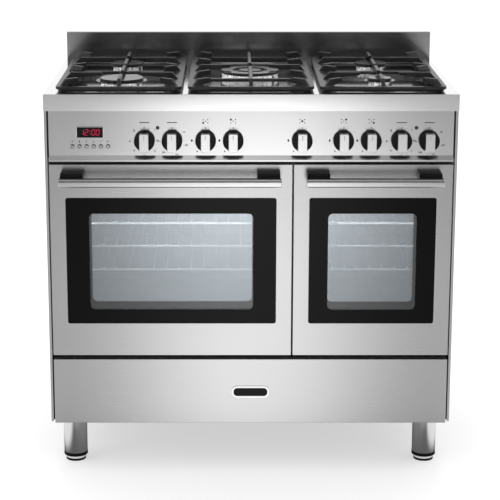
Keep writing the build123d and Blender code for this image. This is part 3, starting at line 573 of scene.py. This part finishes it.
KNOB_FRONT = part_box("knob_3")[0].y
KNOB_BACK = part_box("knob_3")[1].y
LAMP_PROUD = 1.2 * MM
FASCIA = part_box("indicator_lamps")[0].y + LAMP_PROUD
SKIRT_RADIUS = 22.5 * MM
SKIRT_DEPTH = 7 * MM
SKIRT_RIM = 1.6 * MM
SKIRT_DISH = 0.7 * MM
GRIP_HALF = (10.5 * MM, 20 * MM)
GRIP_TAPER = (0.95, 1, 0.98)
GRIP_CORNER = 3 * MM
POINTER_HALF = 0.8 * MM
POINTER_REACH = (6 * MM, 16 * MM)
POINTER_PROUD = 0.15 * MM
POINTER_SUNK = 0.4 * MM
SHAFT_RADIUS = 5 * MM
KNOB_COUNT = 9
GAS_KNOBS = range(3, 8)


def knob_place(number):
    """The X and Z of a knob's axis."""
    low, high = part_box("knob_%d" % number)
    return (low.x + high.x) / 2, (low.z + high.z) / 2


def knob(number):
    """A black dished skirt, a satin bar grip with round ends and a pointer line."""
    name = "knob_%d" % number
    x, z = knob_place(number)
    skirt = drum((x, KNOB_BACK - SKIRT_DEPTH / 2, z), SKIRT_RADIUS, SKIRT_DEPTH, "Y", 96)
    eased(skirt, 1.4 * MM, 3)
    choose(skirt, "FACE", facing((0, -1, 0)))
    bpy.ops.mesh.inset(thickness=SKIRT_RIM)
    bpy.ops.transform.translate(value=(0, SKIRT_DISH, 0))
    leave()
    placed(skirt, name + "_skirt", SATIN_BLACK, name, name)
    grip = cube((x - GRIP_HALF[0], KNOB_FRONT, z - GRIP_HALF[1]),
                (x + GRIP_HALF[0], KNOB_BACK - SKIRT_DEPTH + MM, z + GRIP_HALF[1]))
    choose(grip, "FACE", facing((0, -1, 0)))
    bpy.ops.transform.resize(value=GRIP_TAPER, center_override=(x, KNOB_FRONT, z))
    leave()
    choose(grip, "EDGE", along(1))
    bpy.ops.mesh.bevel(offset=GRIP_CORNER, segments=5, affect="EDGES")
    leave()
    placed(eased(grip, 1.0 * MM, 3), name + "_grip", GRIP_METAL, name, name)
    line = cube((x - POINTER_HALF, KNOB_FRONT - POINTER_PROUD, z + POINTER_REACH[0]),
                (x + POINTER_HALF, KNOB_FRONT + POINTER_SUNK, z + POINTER_REACH[1]))
    placed(eased(line, 0.1 * MM, 1), name + "_pointer", PALE_INK, name, None)
    if number not in GAS_KNOBS:
        length = FASCIA - KNOB_BACK + 4 * MM
        shaft = drum((x, (KNOB_BACK + FASCIA) / 2 + MM, z), SHAFT_RADIUS, length, "Y", 32)
        placed(eased(shaft, 0.6 * MM, 2), name + "_shaft", CHROME, name, name)


for number in range(1, KNOB_COUNT + 1):
    knob(number)


# Clock, buttons and lamps

BUTTON_COUNT = 6
CLOCK_RISE = 30.8 * MM
CLOCK_SIZE = (56.3 * MM, 22.0 * MM)
CLOCK_FRAME = 3.6 * MM
CLOCK_RIM = 1.5 * MM
CLOCK_CORNER = 2.5 * MM
CLOCK_PROUD = 1.4 * MM
CLOCK_LENS_Y = (FASCIA - 1.1 * MM, FASCIA - 0.8 * MM)
CLOCK_TIME = (("1", -17.0), ("2", -7.5), ("0", 7.5), ("0", 17.0))
COLON_RISE = 2.6 * MM
COLON_SIZE = 1.6 * MM
DIGIT_SIZE = (6.4 * MM, 12.0 * MM)
DIGIT_STROKE = 1.2 * MM
DIGIT_SLANT = radians(8)
DIGIT_Y = FASCIA - 1.15 * MM
DIGIT_DEPTH = 0.2 * MM
DIGIT_SEGMENTS = {"0": "abcdef", "1": "bc", "2": "abged"}


def button_place(number):
    """The X and Z of a clock button's axis."""
    low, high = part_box("clock_button_%d" % number)
    return (low.x + high.x) / 2, (low.z + high.z) / 2


def clock_place():
    """The X and Z of the clock window's middle."""
    first_x, z = button_place(1)
    return (first_x + button_place(BUTTON_COUNT)[0]) / 2, z + CLOCK_RISE


def front_ring(x, z, width, height, rim, front, back, corner):
    """An upright frame with a hole right through it."""
    ring = cube((x - width / 2, front, z - height / 2), (x + width / 2, back, z + height / 2))
    choose(ring, "EDGE", along(1))
    bpy.ops.mesh.bevel(offset=corner, segments=4, affect="EDGES")
    leave()
    choose(ring, "FACE", lambda face: abs(face.normal.y) > 0.9)
    bpy.ops.mesh.inset(thickness=rim, use_individual=True)
    bpy.ops.mesh.bridge_edge_loops()
    leave()
    return ring


def stroke(x, z, width, height, turn):
    """One thin bar of a digit, leaned over."""
    deselect()
    bpy.ops.mesh.primitive_cube_add(size=1.0, location=(x, DIGIT_Y, z), rotation=(0, turn, 0),
                                    scale=(width, DIGIT_DEPTH, height))
    return settle()


def digit(character, x, z):
    """The lit strokes of one seven-stroke digit."""
    half_w = DIGIT_SIZE[0] / 2
    half_h = DIGIT_SIZE[1] / 2
    lean = sin(DIGIT_SLANT)
    flat = DIGIT_SIZE[0] - 1.2 * DIGIT_STROKE
    tall = half_h - 0.5 * DIGIT_STROKE
    places = {"a": (0, half_h, 0), "g": (0, 0, 0), "d": (0, -half_h, 0), "b": (half_w, half_h / 2, 1),
              "c": (half_w, -half_h / 2, 1), "e": (-half_w, -half_h / 2, 1), "f": (-half_w, half_h / 2, 1)}
    strokes = []
    for key in DIGIT_SEGMENTS[character]:
        dx, dz, upright = places[key]
        middle = x + dx + dz * lean
        if upright:
            strokes.append(stroke(middle, z + dz, DIGIT_STROKE, tall, DIGIT_SLANT))
        else:
            strokes.append(stroke(middle, z + dz, flat, DIGIT_STROKE, 0))
    return strokes


def clock():
    """A bright frame, a black lens and a lit time over the clock module."""
    x, z = clock_place()
    width, height = CLOCK_SIZE
    ring = front_ring(x, z, width + CLOCK_FRAME, height + CLOCK_FRAME, CLOCK_RIM,
                      FASCIA - CLOCK_PROUD, FASCIA, CLOCK_CORNER)
    placed(eased(ring, 0.3 * MM, 2), "clock_frame", CHROME, "body", None)
    lens = cube((x - width / 2, CLOCK_LENS_Y[0], z - height / 2),
                (x + width / 2, CLOCK_LENS_Y[1], z + height / 2))
    placed(eased(lens, 0.12 * MM, 2), "clock_lens", SATIN_BLACK, "body", None)
    strokes = []
    for character, offset in CLOCK_TIME:
        strokes += digit(character, x + offset * MM, z)
    for rise in (-COLON_RISE, COLON_RISE):
        strokes.append(stroke(x + rise * sin(DIGIT_SLANT), z + rise, COLON_SIZE, COLON_SIZE, DIGIT_SLANT))
    lit = glowing("lit_segment", (0.66, 0.002, 0.07, 1.0), 1.0)
    placed(joined(strokes), "clock_digits", lit, "body", None)


clock()

BUTTON_METAL = plain_metal("button_metal", (0.60, 0.60, 0.61, 1.0), 0.12, 0.06)
for number in range(1, BUTTON_COUNT + 1):
    name = "clock_button_%d" % number
    low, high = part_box(name)
    x, z = button_place(number)
    key = drum((x, (low.y + high.y) / 2, z), (high.x - low.x) / 2, high.y - low.y, "Y", 40)
    placed(eased(key, 2.4 * MM, 6), name + "_key", BUTTON_METAL, name, name)

LENS = moulded("smoked_lens", (0.035, 0.024, 0.022, 1.0), 0.18, 400.0, 0.02)
lenses = eased(cad_copy("indicator_lamps"), 0.5 * MM, 3)
placed(lenses, "indicator_lamp_lenses", LENS, "body", "indicator_lamps")


# Printed marks on the fascia

MARK_Y = (FASCIA - 0.12 * MM, FASCIA + 0.1 * MM)
MARK_MIDDLE = (MARK_Y[0] + MARK_Y[1]) / 2
MARK_DEPTH = MARK_Y[1] - MARK_Y[0]
INDEX_RISE = 28 * MM
INDEX_SIZE = 2.2
FLAME_RADIUS = 30 * MM
LOW_FLAME_TURN = radians(232)
BURNER_SIGN_RISE = 43.0
BURNER_DOTS = ((-5.0, -3.6), (-5.0, 3.6), (0.0, 0.0), (5.0, 3.6), (5.0, -3.6))
LABEL_RISE = 40 * MM
THERMOSTATS = (2, 9)
DIAL_RADIUS = 32 * MM
DIAL_NUMBERS = ("50", "100", "150", "200", "250")
DIAL_NUMBER_STEP = 54
DIAL_SIGN_STEP = 45
NUMBER_SIZE = 5.0
NUMBER_WEIGHT = 0.12 * MM
BUTTON_SIGN_RISE = 11 * MM


def dot(x, z, radius):
    """A round printed mark."""
    return drum((x, MARK_MIDDLE, z), radius * MM, MARK_DEPTH, "Y", 20)


def dash(x, z, width, height):
    """A straight printed mark."""
    half_w = width * MM / 2
    half_h = height * MM / 2
    return cube((x - half_w, MARK_Y[0], z - half_h), (x + half_w, MARK_Y[1], z + half_h))


def wedge(x, z, radius, turn):
    """A three-cornered printed mark."""
    deselect()
    bpy.ops.mesh.primitive_cylinder_add(vertices=3, radius=radius * MM, depth=MARK_DEPTH,
                                        location=(x, MARK_MIDDLE, z), rotation=(pi / 2, turn, 0))
    return settle()


def flame(x, z, size):
    """A drop-shaped flame."""
    return [dot(x, z, size), wedge(x, z + 0.9 * size * MM, size, 0)]


def number_mark(body, x, z, size):
    """A plain printed number."""
    deselect()
    bpy.ops.object.text_add(location=(x, MARK_MIDDLE, z), rotation=(pi / 2, 0, 0))
    text = bpy.context.active_object
    text.data.body = body
    text.data.size = size * MM
    text.data.extrude = MARK_DEPTH / 2
    text.data.offset = NUMBER_WEIGHT
    text.data.align_x = "CENTER"
    text.data.align_y = "CENTER"
    bpy.ops.object.convert(target="MESH")
    return settle()


def gas_marks(number):
    """Off, large and small flame round a gas knob, and which burner it feeds."""
    x, z = knob_place(number)
    marks = [wedge(x, z + INDEX_RISE, INDEX_SIZE, pi)]
    marks += flame(x - FLAME_RADIUS, z, 2.2)
    marks += flame(x + FLAME_RADIUS * cos(LOW_FLAME_TURN), z + FLAME_RADIUS * sin(LOW_FLAME_TURN), 1.4)
    for place, (dx, dz) in enumerate(BURNER_DOTS):
        radius = 2.3 if place == number - GAS_KNOBS[0] else 1.2
        marks.append(dot(x + dx * MM, z + (BURNER_SIGN_RISE + dz) * MM, radius))
    return marks


def oven_marks(number):
    """An index, a short label bar and a ring of numbers or of plain signs round an oven knob."""
    x, z = knob_place(number)
    marks = [wedge(x, z + INDEX_RISE, INDEX_SIZE, pi), dash(x, z + LABEL_RISE, 22, 1.7)]
    if number in THERMOSTATS:
        for step, body in enumerate(DIAL_NUMBERS, 1):
            turn = radians(90 - DIAL_NUMBER_STEP * step)
            mark_x = x + DIAL_RADIUS * cos(turn)
            mark_z = z + DIAL_RADIUS * sin(turn)
            marks.append(number_mark(body, mark_x, mark_z, NUMBER_SIZE))
    else:
        for step in range(1, 8):
            turn = radians(90 - DIAL_SIGN_STEP * step)
            mark_x = x + DIAL_RADIUS * cos(turn)
            mark_z = z + DIAL_RADIUS * sin(turn)
            for bit, rise in ((1, 1.8), (2, -1.8)):
                if step & bit:
                    marks.append(dash(mark_x, mark_z + rise * MM, 4.0, 1.0))
            if step & 4:
                marks.append(dot(mark_x, mark_z, 1.1))
    return marks


def button_marks():
    """Small plain signs above the clock buttons."""
    marks = []
    for number in range(1, BUTTON_COUNT + 1):
        x, z = button_place(number)
        z += BUTTON_SIGN_RISE
        if number in (1, 2):
            marks.append(dot(x, z, 1.3))
        if number in (2, 3, 4):
            marks.append(dash(x, z - 2.0 * MM, 3.6, 0.9))
        if number in (3, 4):
            marks.append(wedge(x, z + 0.4 * MM, 1.5, pi * (number - 3)))
        if number in (5, 6):
            marks.append(dash(x, z, 3.4, 1.0))
        if number == 6:
            marks.append(dash(x, z, 1.0, 3.4))
    return marks


fascia_marks = button_marks()
for number in range(1, KNOB_COUNT + 1):
    fascia_marks += gas_marks(number) if number in GAS_KNOBS else oven_marks(number)
placed(joined(fascia_marks), "fascia_marks", INK, "body", None)


# Door glass

PANE = 4 * MM
GLASS_LAP = 12 * MM
INNER_MARGIN = (63 * MM, 68 * MM)
WINDOW_MARGINS = {"main": (51, 36, 32), "side": (42, 36, 31)}
WINDOW_CORNER = 10.7 * MM
INNER_WINDOW_LOW = Vector((2 * MM, 0, 8 * MM))
INNER_WINDOW_HIGH = Vector((-2 * MM, 0, 14 * MM))
TINT = (0.87, 0.885, 0.90, 1.0)
OUTER_MIRROR = 0.03
INNER_MIRROR = 0.28


def door_glass(name):
    """Two panes with a printed border each, the outer one wider than the inner."""
    body = name + "_door"
    node = body + "_panes"
    low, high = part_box(node)
    side, top, bottom = (GLASS_LAP + margin * MM for margin in WINDOW_MARGINS[name])
    window_low = Vector((low.x + side, low.y, low.z + bottom))
    window_high = Vector((high.x - side, low.y, high.z - top))
    outer = cube(low, (high.x, low.y + PANE, high.z))
    look = printed_glass(body + "_outer_glass", window_low, window_high, WINDOW_CORNER, TINT, OUTER_MIRROR)
    placed(eased(outer, 0.4 * MM, 2), body + "_outer_pane", look, body, node)
    skin_low, skin_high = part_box(body + "_skin")
    inner = cube((skin_low.x + INNER_MARGIN[0], high.y - PANE, skin_low.z + INNER_MARGIN[1]),
                 (skin_high.x - INNER_MARGIN[0], high.y, skin_high.z - INNER_MARGIN[1]))
    inner_low = window_low + INNER_WINDOW_LOW
    inner_high = window_high + INNER_WINDOW_HIGH
    look = printed_glass(body + "_inner_glass", inner_low, inner_high, WINDOW_CORNER, TINT, INNER_MIRROR)
    placed(eased(inner, 0.4 * MM, 2), body + "_inner_pane", look, body, node)


door_glass("main")
door_glass("side")


# Oven racks

CAVITY_WALL = 1.5 * MM
RACK_LEVELS = (186 * MM, 240 * MM, 292 * MM)
RACK_WIRE = 3 * MM
RACK_FRAME = 5 * MM
RACK_PITCH = 28 * MM
RACK_SIDE_GAP = 3 * MM


def rod(start, end, radius):
    """A round wire along X or Y with eased ends."""
    start = Vector(start)
    end = Vector(end)
    axis = "X" if end.x - start.x > end.y - start.y else "Y"
    return eased(drum((start + end) / 2, radius, (end - start).length, axis, 12), 0.3 * MM, 1, 60)


def rack(oven, name):
    """A wire grid on a wire frame."""
    low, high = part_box(oven)
    shelf_low, shelf_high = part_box("oven_racks")
    x0 = low.x + CAVITY_WALL + RACK_SIDE_GAP
    x1 = high.x - CAVITY_WALL - RACK_SIDE_GAP
    y0 = shelf_low.y
    y1 = shelf_high.y
    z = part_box("main_door_skin")[0].z + RACK_LEVELS[0]
    frame_z = z - (RACK_WIRE + RACK_FRAME) / 2
    half = RACK_FRAME / 2
    rods = [rod((x0, y, frame_z), (x1, y, frame_z), half) for y in (y0 + half, y1 - half)]
    rods += [rod((x, y0, frame_z), (x, y1, frame_z), half) for x in (x0 + half, x1 - half)]
    count = int((x1 - x0 - 2 * RACK_FRAME) / RACK_PITCH)
    for i in range(count + 1):
        x = (x0 + x1) / 2 + RACK_PITCH * (i - count / 2)
        rods.append(rod((x, y0, z), (x, y1, z), RACK_WIRE / 2))
    lowest = joined(rods)
    racks = [lowest]
    for level in RACK_LEVELS[1:]:
        racks.append(copied(lowest, (0, 0, level - RACK_LEVELS[0])))
    for number, piece in enumerate(racks, 1):
        placed(piece, "%s_rack_%d" % (name, number), RACK_PAINTED_LIGHT_METAL, "body", "oven_racks")


rack("main_oven_cavity", "main")
rack("side_oven_cavity", "side")


# Burners

CROWN_HEIGHT = 13 * MM
WELL_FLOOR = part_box("burner_bodies")[1].z - CROWN_HEIGHT
CROWN_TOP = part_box("burner_caps")[0].z
CAP_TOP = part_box("burner_caps")[1].z
CAP_LAP = 3 * MM
PORT_HEIGHT = 9 * MM
PORT_DEPTH = 6 * MM
PORT_WALL = 0.15 * MM
WOK_RING = 28 * MM
WOK_INNER = 26 * MM
PIN_GAP = 5 * MM
PIN_SIZE = (2.8 * MM, 11 * MM)
TIP_SIZE = (1.0 * MM, 6 * MM)
TIP_RISE = 13 * MM
SPARK_TURN = radians(225)
SENSOR_TURN = radians(315)
BURNER_OFFSET = 121 * MM
BURNERS = (
    ("front_left", "left", -1, 49),
    ("rear_left", "left", 1, 37),
    ("centre", "centre", 0, 67.5),
    ("rear_right", "right", 1, 37),
    ("front_right", "right", -1, 27),
)
CERAMIC = moulded("igniter_ceramic", (0.80, 0.78, 0.74, 1.0), 0.3)


def support_middle(side):
    """The X and Y of a pan support's middle."""
    low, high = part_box(side + "_pan_support")
    return (low.x + high.x) / 2, (low.y + high.y) / 2


def crown(x, y, radius, ports):
    """The slotted ring that the flames come out of."""
    ring = drum((x, y, (WELL_FLOOR + CROWN_TOP) / 2), radius, CROWN_TOP - WELL_FLOOR, "Z", 2 * ports)
    activate(ring)
    bpy.ops.object.mode_set(mode="EDIT")
    bpy.ops.mesh.select_all(action="SELECT")
    bpy.ops.mesh.bisect(plane_co=(x, y, CROWN_TOP - PORT_HEIGHT), plane_no=(0, 0, 1))
    leave()
    start = Vector((x, y, 0))

    def port(face):
        out = face.calc_center_median() - start
        turn = atan2(out.y, out.x) / pi * ports
        upper = abs(face.normal.z) < 0.1 and out.z > CROWN_TOP - PORT_HEIGHT + MM
        return upper and int(turn + 2 * ports) % 2 == 0

    choose(ring, "FACE", port)
    bpy.ops.mesh.inset(thickness=PORT_WALL, depth=-PORT_DEPTH, use_individual=True)
    leave()
    return ring


def cap(x, y, radius):
    """A black lid with a soft rim and a rebate under it."""
    lid = eased(drum((x, y, (CROWN_TOP + CAP_TOP) / 2), radius, CAP_TOP - CROWN_TOP, "Z", 96), 2.0 * MM, 4)
    choose(lid, "FACE", facing((0, 0, -1)))
    bpy.ops.mesh.inset(thickness=2.0 * MM)
    bpy.ops.mesh.inset(thickness=0.5 * MM, depth=-1.0 * MM)
    leave()
    return lid


def ring_cap(x, y, radius, width):
    """A black lid in the form of a ring."""
    lid = drum((x, y, (CROWN_TOP + CAP_TOP) / 2), radius, CAP_TOP - CROWN_TOP, "Z", 96)
    choose(lid, "FACE", lambda face: abs(face.normal.z) > 0.9)
    bpy.ops.mesh.inset(thickness=width, use_individual=True)
    bpy.ops.mesh.bridge_edge_loops()
    leave()
    return eased(lid, 2.4 * MM, 4)


def igniter(x, y, distance, turn):
    """A ceramic spark pin with a wire tip."""
    px = x + distance * cos(turn)
    py = y + distance * sin(turn)
    pin = eased(drum((px, py, WELL_FLOOR + PIN_SIZE[1] / 2), *PIN_SIZE, "Z", 24), 0.6 * MM, 2)
    tip = eased(drum((px, py, WELL_FLOOR + TIP_RISE), *TIP_SIZE, "Z", 16), 0.3 * MM, 2)
    return pin, tip


def burner(name, x, y, radius):
    """One burner: slotted crown, lid, spark pin and flame sensor."""
    ports = int(radius / MM)
    body = crown(x, y, radius - CAP_LAP, ports)
    placed(body, name + "_burner_crown", CROWN_METAL, "body", "burner_bodies", 25)
    if name == "centre":
        ring = ring_cap(x, y, radius, WOK_RING)
        placed(ring, name + "_burner_ring", CAP_ENAMEL, "body", "burner_caps")
        lid = cap(x, y, WOK_INNER)
    else:
        lid = cap(x, y, radius)
    placed(lid, name + "_burner_cap", CAP_ENAMEL, "body", "burner_caps")
    pin, tip = igniter(x, y, radius + PIN_GAP, SPARK_TURN)
    sensor_pin, sensor_tip = igniter(x, y, radius + PIN_GAP, SENSOR_TURN)
    placed(pin, name + "_spark_pin", CERAMIC, "body", None)
    placed(joined([tip, sensor_pin, sensor_tip]), name + "_flame_sensor", CHROME, "body", None)


support_y = support_middle("left")[1]
for name, side, row, radius in BURNERS:
    burner(name, support_middle(side)[0], support_y + row * BURNER_OFFSET, radius * MM)


# Cast pan supports

CASTING_GRAIN = 1.3 * MM

for side in ("left", "centre", "right"):
    name = side + "_pan_support"
    casting = cad_copy(name)
    skin = casting.modifiers.new("skin", "REMESH")
    skin.mode = "VOXEL"
    skin.voxel_size = CASTING_GRAIN
    applied(casting, skin)
    soft = casting.modifiers.new("soft", "SMOOTH")
    soft.factor = 0.5
    soft.iterations = 3
    placed(applied(casting, soft), name + "_casting", IRON, name, name, 60)


# Legs, feet and name plate

TUBE_RADIUS = 27 * MM
COLLAR_RADIUS = 27.5 * MM
COLLAR_Z = (12 * MM, 19 * MM)
FOOT_RADIUS = 23 * MM
FOOT_Z = (5.4 * MM, 11.7 * MM)
STUD_RADIUS = 8 * MM
PAD_RADIUS = 22.6 * MM
leg_low, leg_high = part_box("leg_tubes")
stud_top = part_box("levelling_feet")[1].z
corners = [(x, y) for x in (leg_low.x + COLLAR_RADIUS, leg_high.x - COLLAR_RADIUS)
           for y in (leg_low.y + COLLAR_RADIUS, leg_high.y - COLLAR_RADIUS)]


def round_foot(x, y, radius, low, high, ease):
    """A round piece of a leg with soft edges."""
    return eased(drum((x, y, (low + high) / 2), radius, high - low, "Z", 64), ease, 3)


for number, (x, y) in enumerate(corners, 1):
    tube = round_foot(x, y, TUBE_RADIUS, COLLAR_Z[1], leg_high.z, 1.2 * MM)
    placed(tube, "leg_%d_tube" % number, LEG_STEEL, "body", "leg_tubes")
    collar = round_foot(x, y, COLLAR_RADIUS, *COLLAR_Z, 1.0 * MM)
    placed(collar, "leg_%d_collar" % number, BLACK_PLASTIC, "body", "leg_tubes")
    foot = round_foot(x, y, FOOT_RADIUS, *FOOT_Z, 1.4 * MM)
    stud = round_foot(x, y, STUD_RADIUS, FOOT_Z[1] - MM, stud_top, 0.8 * MM)
    foot = joined([foot, stud])
    placed(foot, "leg_%d_foot" % number, FOOT_METAL, "feet", "levelling_feet")
    pad = round_foot(x, y, PAD_RADIUS, 0, FOOT_Z[0], 0.5 * MM)
    placed(pad, "leg_%d_pad" % number, RUBBER, "feet", "levelling_feet")

plate_low, plate_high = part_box("name_plate")
PLATE_CORNER = 13 * MM
PLATE_RIM = 4.5 * MM
BLANK_PROUD = 0.3 * MM
BLANK_SUNK = 0.2 * MM


def rounded_plate(low, high, corner):
    """An upright plate with round corners."""
    plate = cube(low, high)
    choose(plate, "EDGE", along(1))
    bpy.ops.mesh.bevel(offset=corner, segments=10, affect="EDGES")
    leave()
    return plate


plate = eased(rounded_plate(plate_low, plate_high, PLATE_CORNER), 0.4 * MM, 2)
placed(plate, "name_plate_back", CHROME, "drawer", "name_plate")
blank_low = plate_low + Vector((PLATE_RIM, -BLANK_PROUD, PLATE_RIM))
blank_high = Vector((plate_high.x - PLATE_RIM, plate_low.y + BLANK_SUNK, plate_high.z - PLATE_RIM))
blank = eased(rounded_plate(blank_low, blank_high, PLATE_CORNER - PLATE_RIM), 0.15 * MM, 1)
placed(blank, "name_plate_blank", SATIN_BLACK, "drawer", None)


# Screws in the rear panel

SCREW_RADIUS = 4 * MM
SCREW_HEIGHT = 2.2 * MM
SOCKET_RIM = 1.2 * MM
SOCKET_DEPTH = 0.9 * MM
SCREW_EDGE = 12 * MM
SCREW_COLUMNS = 5


def screw(x, y, z):
    """A socket screw with a domed head, facing the rear."""
    head = eased(drum((x, y + SCREW_HEIGHT / 2, z), SCREW_RADIUS, SCREW_HEIGHT, "Y", 32), 0.9 * MM, 3)
    choose(head, "FACE", facing((0, 1, 0)))
    bpy.ops.mesh.inset(thickness=SOCKET_RIM)
    bpy.ops.mesh.inset(thickness=0.1 * MM, depth=-SOCKET_DEPTH)
    leave()
    return head


rear_low, rear_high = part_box("rear_panel")
screws = []
for step in range(SCREW_COLUMNS):
    x = rear_low.x + SCREW_EDGE + (rear_high.x - rear_low.x - 2 * SCREW_EDGE) * step / (SCREW_COLUMNS - 1)
    screws += [screw(x, rear_high.y, z) for z in (rear_low.z + SCREW_EDGE, rear_high.z - SCREW_EDGE)]
placed(joined(screws), "rear_screws", CHROME, "body", None)


# Looks of the CAD nodes that stay as they are

ELEMENT = plain_metal("element_steel", (0.20, 0.18, 0.17, 1.0), 0.42)
SEAL = moulded("door_seal", grey(0.05), 0.75, 300.0, 0.6)
FAN_COATING = moulded("fan_coating", grey(0.26), 0.5)
NODE_LOOKS = {
    ZINC: ("base_pan", "rear_panel", "drawer_tray", "hinge_brackets", "main_door_hinges", "side_door_hinges"),
    ENAMEL: ("front_frame", "main_oven_cavity", "side_oven_cavity", "main_door_liner", "side_door_liner",
             "fan_unit"),
    FAN_COATING: ("fan_blade",),
    ELEMENT: ("heating_elements",),
    BRASS: ("gas_manifold",) + tuple("gas_spindle_%d" % number for number in GAS_KNOBS),
    BLACK_PLASTIC: ("oven_switches", "terminal_box", "clock_module"),
    SEAL: ("door_seals",),
}
for look, nodes in NODE_LOOKS.items():
    for node in nodes:
        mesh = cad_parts[node].data
        mesh.materials.clear()
        mesh.materials.append(look)


# Studio

FLOOR_SIZE = 60.0
FLOOR_TONE = 0.62
FLOOR_LIFT = 0.48
EYE = (-0.047, -3.900, 1.452)
PITCH = 13.5
FOCAL_LENGTH = 122.4
SENSOR_WIDTH = 36.0
SHIFT = (0.041, -0.05)
VIEW_END = 200.0
OVEN_LAMP_POWER = 2.2
OVEN_LAMP_SHARE = 0.9
OVEN_LAMP_DEPTH = 0.03


def studio_floor():
    """A pale floor that polished faces see as a bright middle, darker sides and a dark far end."""
    deselect()
    bpy.ops.mesh.primitive_plane_add(size=FLOOR_SIZE)
    floor = settle()
    floor.name = "studio_floor"
    look = new_look("studio_floor")
    x, y, _ = look.axes(look.place())
    # The bright middle widens and brightens away from the cooker, and its sides dim
    aside = abs(x + 0.02 + y * 0.02) / (0.38 - y * 0.13)
    dim = look.ramp(y, -4.2, -1.5, 0.30, 0.52)
    across = (look.ramp(aside, 0.05, 1.00, 1.0, 0.0) * (1.20 - dim) + dim) * (0.98 - y * 0.13)
    # Lighter on either side of the cooker and darker under it
    beside = look.ramp(y, -0.72, -0.58, 0.0, 0.5) * look.ramp(abs(x), 0.46, 0.56, 0.0, 1.0)
    under = look.ramp(y, -0.55, -0.40, 0.0, 0.75) * look.ramp(abs(x), 0.46, 0.58, 1.0, 0.0)
    # The far end is dark, with a bright patch left and right of its middle
    far = look.ramp(y, -6.3, -5.7, 0.95, 0.0)
    ends = look.ramp(abs(x - 0.06), 1.07, 1.22, 0.0, 1.8) * look.ramp(abs(x), 1.50, 1.65, 1.0, 0.0)
    ends = ends * look.ramp(y, -8.2, -7.9, 0.0, 1.0) * look.ramp(y, -7.2, -6.4, 1.0, 0.2)
    glow = across * (1.0 - far) * (1.0 - under) + beside + far * ends
    seen = look.node("ShaderNodeLightPath", {}, {}, "Is Glossy Ray")
    matt = look.node("ShaderNodeBsdfDiffuse", {}, {"Color": grey(FLOOR_TONE)})
    lift = look.node("ShaderNodeEmission", {}, {"Color": grey(1.0), "Strength": FLOOR_LIFT})
    pale = look.node("ShaderNodeAddShader", {}, {0: matt, 1: lift})
    shine = look.node("ShaderNodeEmission", {}, {"Color": grey(1.0), "Strength": glow})
    floor.data.materials.append(look.close(look.mix(seen, pale, shine)))


def studio_world():
    """White surroundings, which polished faces see dimmer in front, with a pale band overhead."""
    world = bpy.data.worlds.new("studio")
    bpy.context.scene.world = world
    look = Look(world)
    x, y, z = look.axes(look.node("ShaderNodeTexCoord", {}, {}, "Generated"))
    overhead = look.ramp(z, 0.75, 0.95, 0.0, 1.0) * look.ramp(abs(x), 0.01, 0.11, 0.75, 0.12)
    overhead = overhead * look.ramp(y, -0.15, 0.10, 1.0, 0.0)
    backdrop = look.ramp(y, -0.2, 0.6, 0.12, 1.0) + overhead
    seen = look.node("ShaderNodeLightPath", {}, {}, "Is Glossy Ray")
    white = look.node("ShaderNodeBackground", {}, {"Color": grey(1.0), "Strength": 1.0})
    soft = look.node("ShaderNodeBackground", {}, {"Color": grey(1.0), "Strength": backdrop})
    look.close(look.mix(seen, white, soft), "World")


def softbox(name, place, aim, size, power, spread=180, mirrored=True):
    """A rectangular area light turned to a point, which polished faces may show or not."""
    lamp = bpy.data.lights.new(name, "AREA")
    lamp.shape = "RECTANGLE"
    lamp.size = size[0]
    lamp.size_y = size[1]
    lamp.energy = power
    lamp.spread = radians(spread)
    box = bpy.data.objects.new(name, lamp)
    box.location = place
    box.visible_glossy = mirrored
    box.rotation_euler = (Vector(aim) - Vector(place)).to_track_quat("-Z", "Y").to_euler()
    bpy.context.scene.collection.objects.link(box)


def camera():
    """A long lens a little above the hob, looking down at the front."""
    view = bpy.data.cameras.new("camera")
    view.lens = FOCAL_LENGTH
    view.sensor_width = SENSOR_WIDTH
    view.shift_x = SHIFT[0]
    view.shift_y = SHIFT[1]
    view.clip_end = VIEW_END
    eye = bpy.data.objects.new("camera", view)
    eye.location = EYE
    eye.rotation_euler = (radians(90 - PITCH), 0, 0)
    bpy.context.scene.collection.objects.link(eye)
    bpy.context.scene.camera = eye


studio_floor()
studio_world()
softbox("overhead", (0.0, 1.0, 3.2), (0.0, 0.0, 0.6), (2.4, 1.4), 30.0, mirrored=False)
softbox("left_fill", (-2.6, -1.6, 1.8), (0.0, 0.0, 0.5), (1.4, 1.8), 10.0)
softbox("burner_fill", (0.0, -2.0, 1.35), (0.0, 0.0, 0.885), (1.2, 0.2), 1.2, spread=25, mirrored=False)
for oven in ("main_oven_cavity", "side_oven_cavity"):
    low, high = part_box(oven)
    x = (low.x + high.x) / 2
    width = high.x - low.x
    softbox(oven + "_lamp", (x, low.y + 4 * MM, high.z - 12 * MM), (x, low.y - 20 * MM, low.z),
            (OVEN_LAMP_SHARE * width, OVEN_LAMP_DEPTH), OVEN_LAMP_POWER * width)
camera()
bpy.context.scene.view_settings.view_transform = "Standard"

deselect()
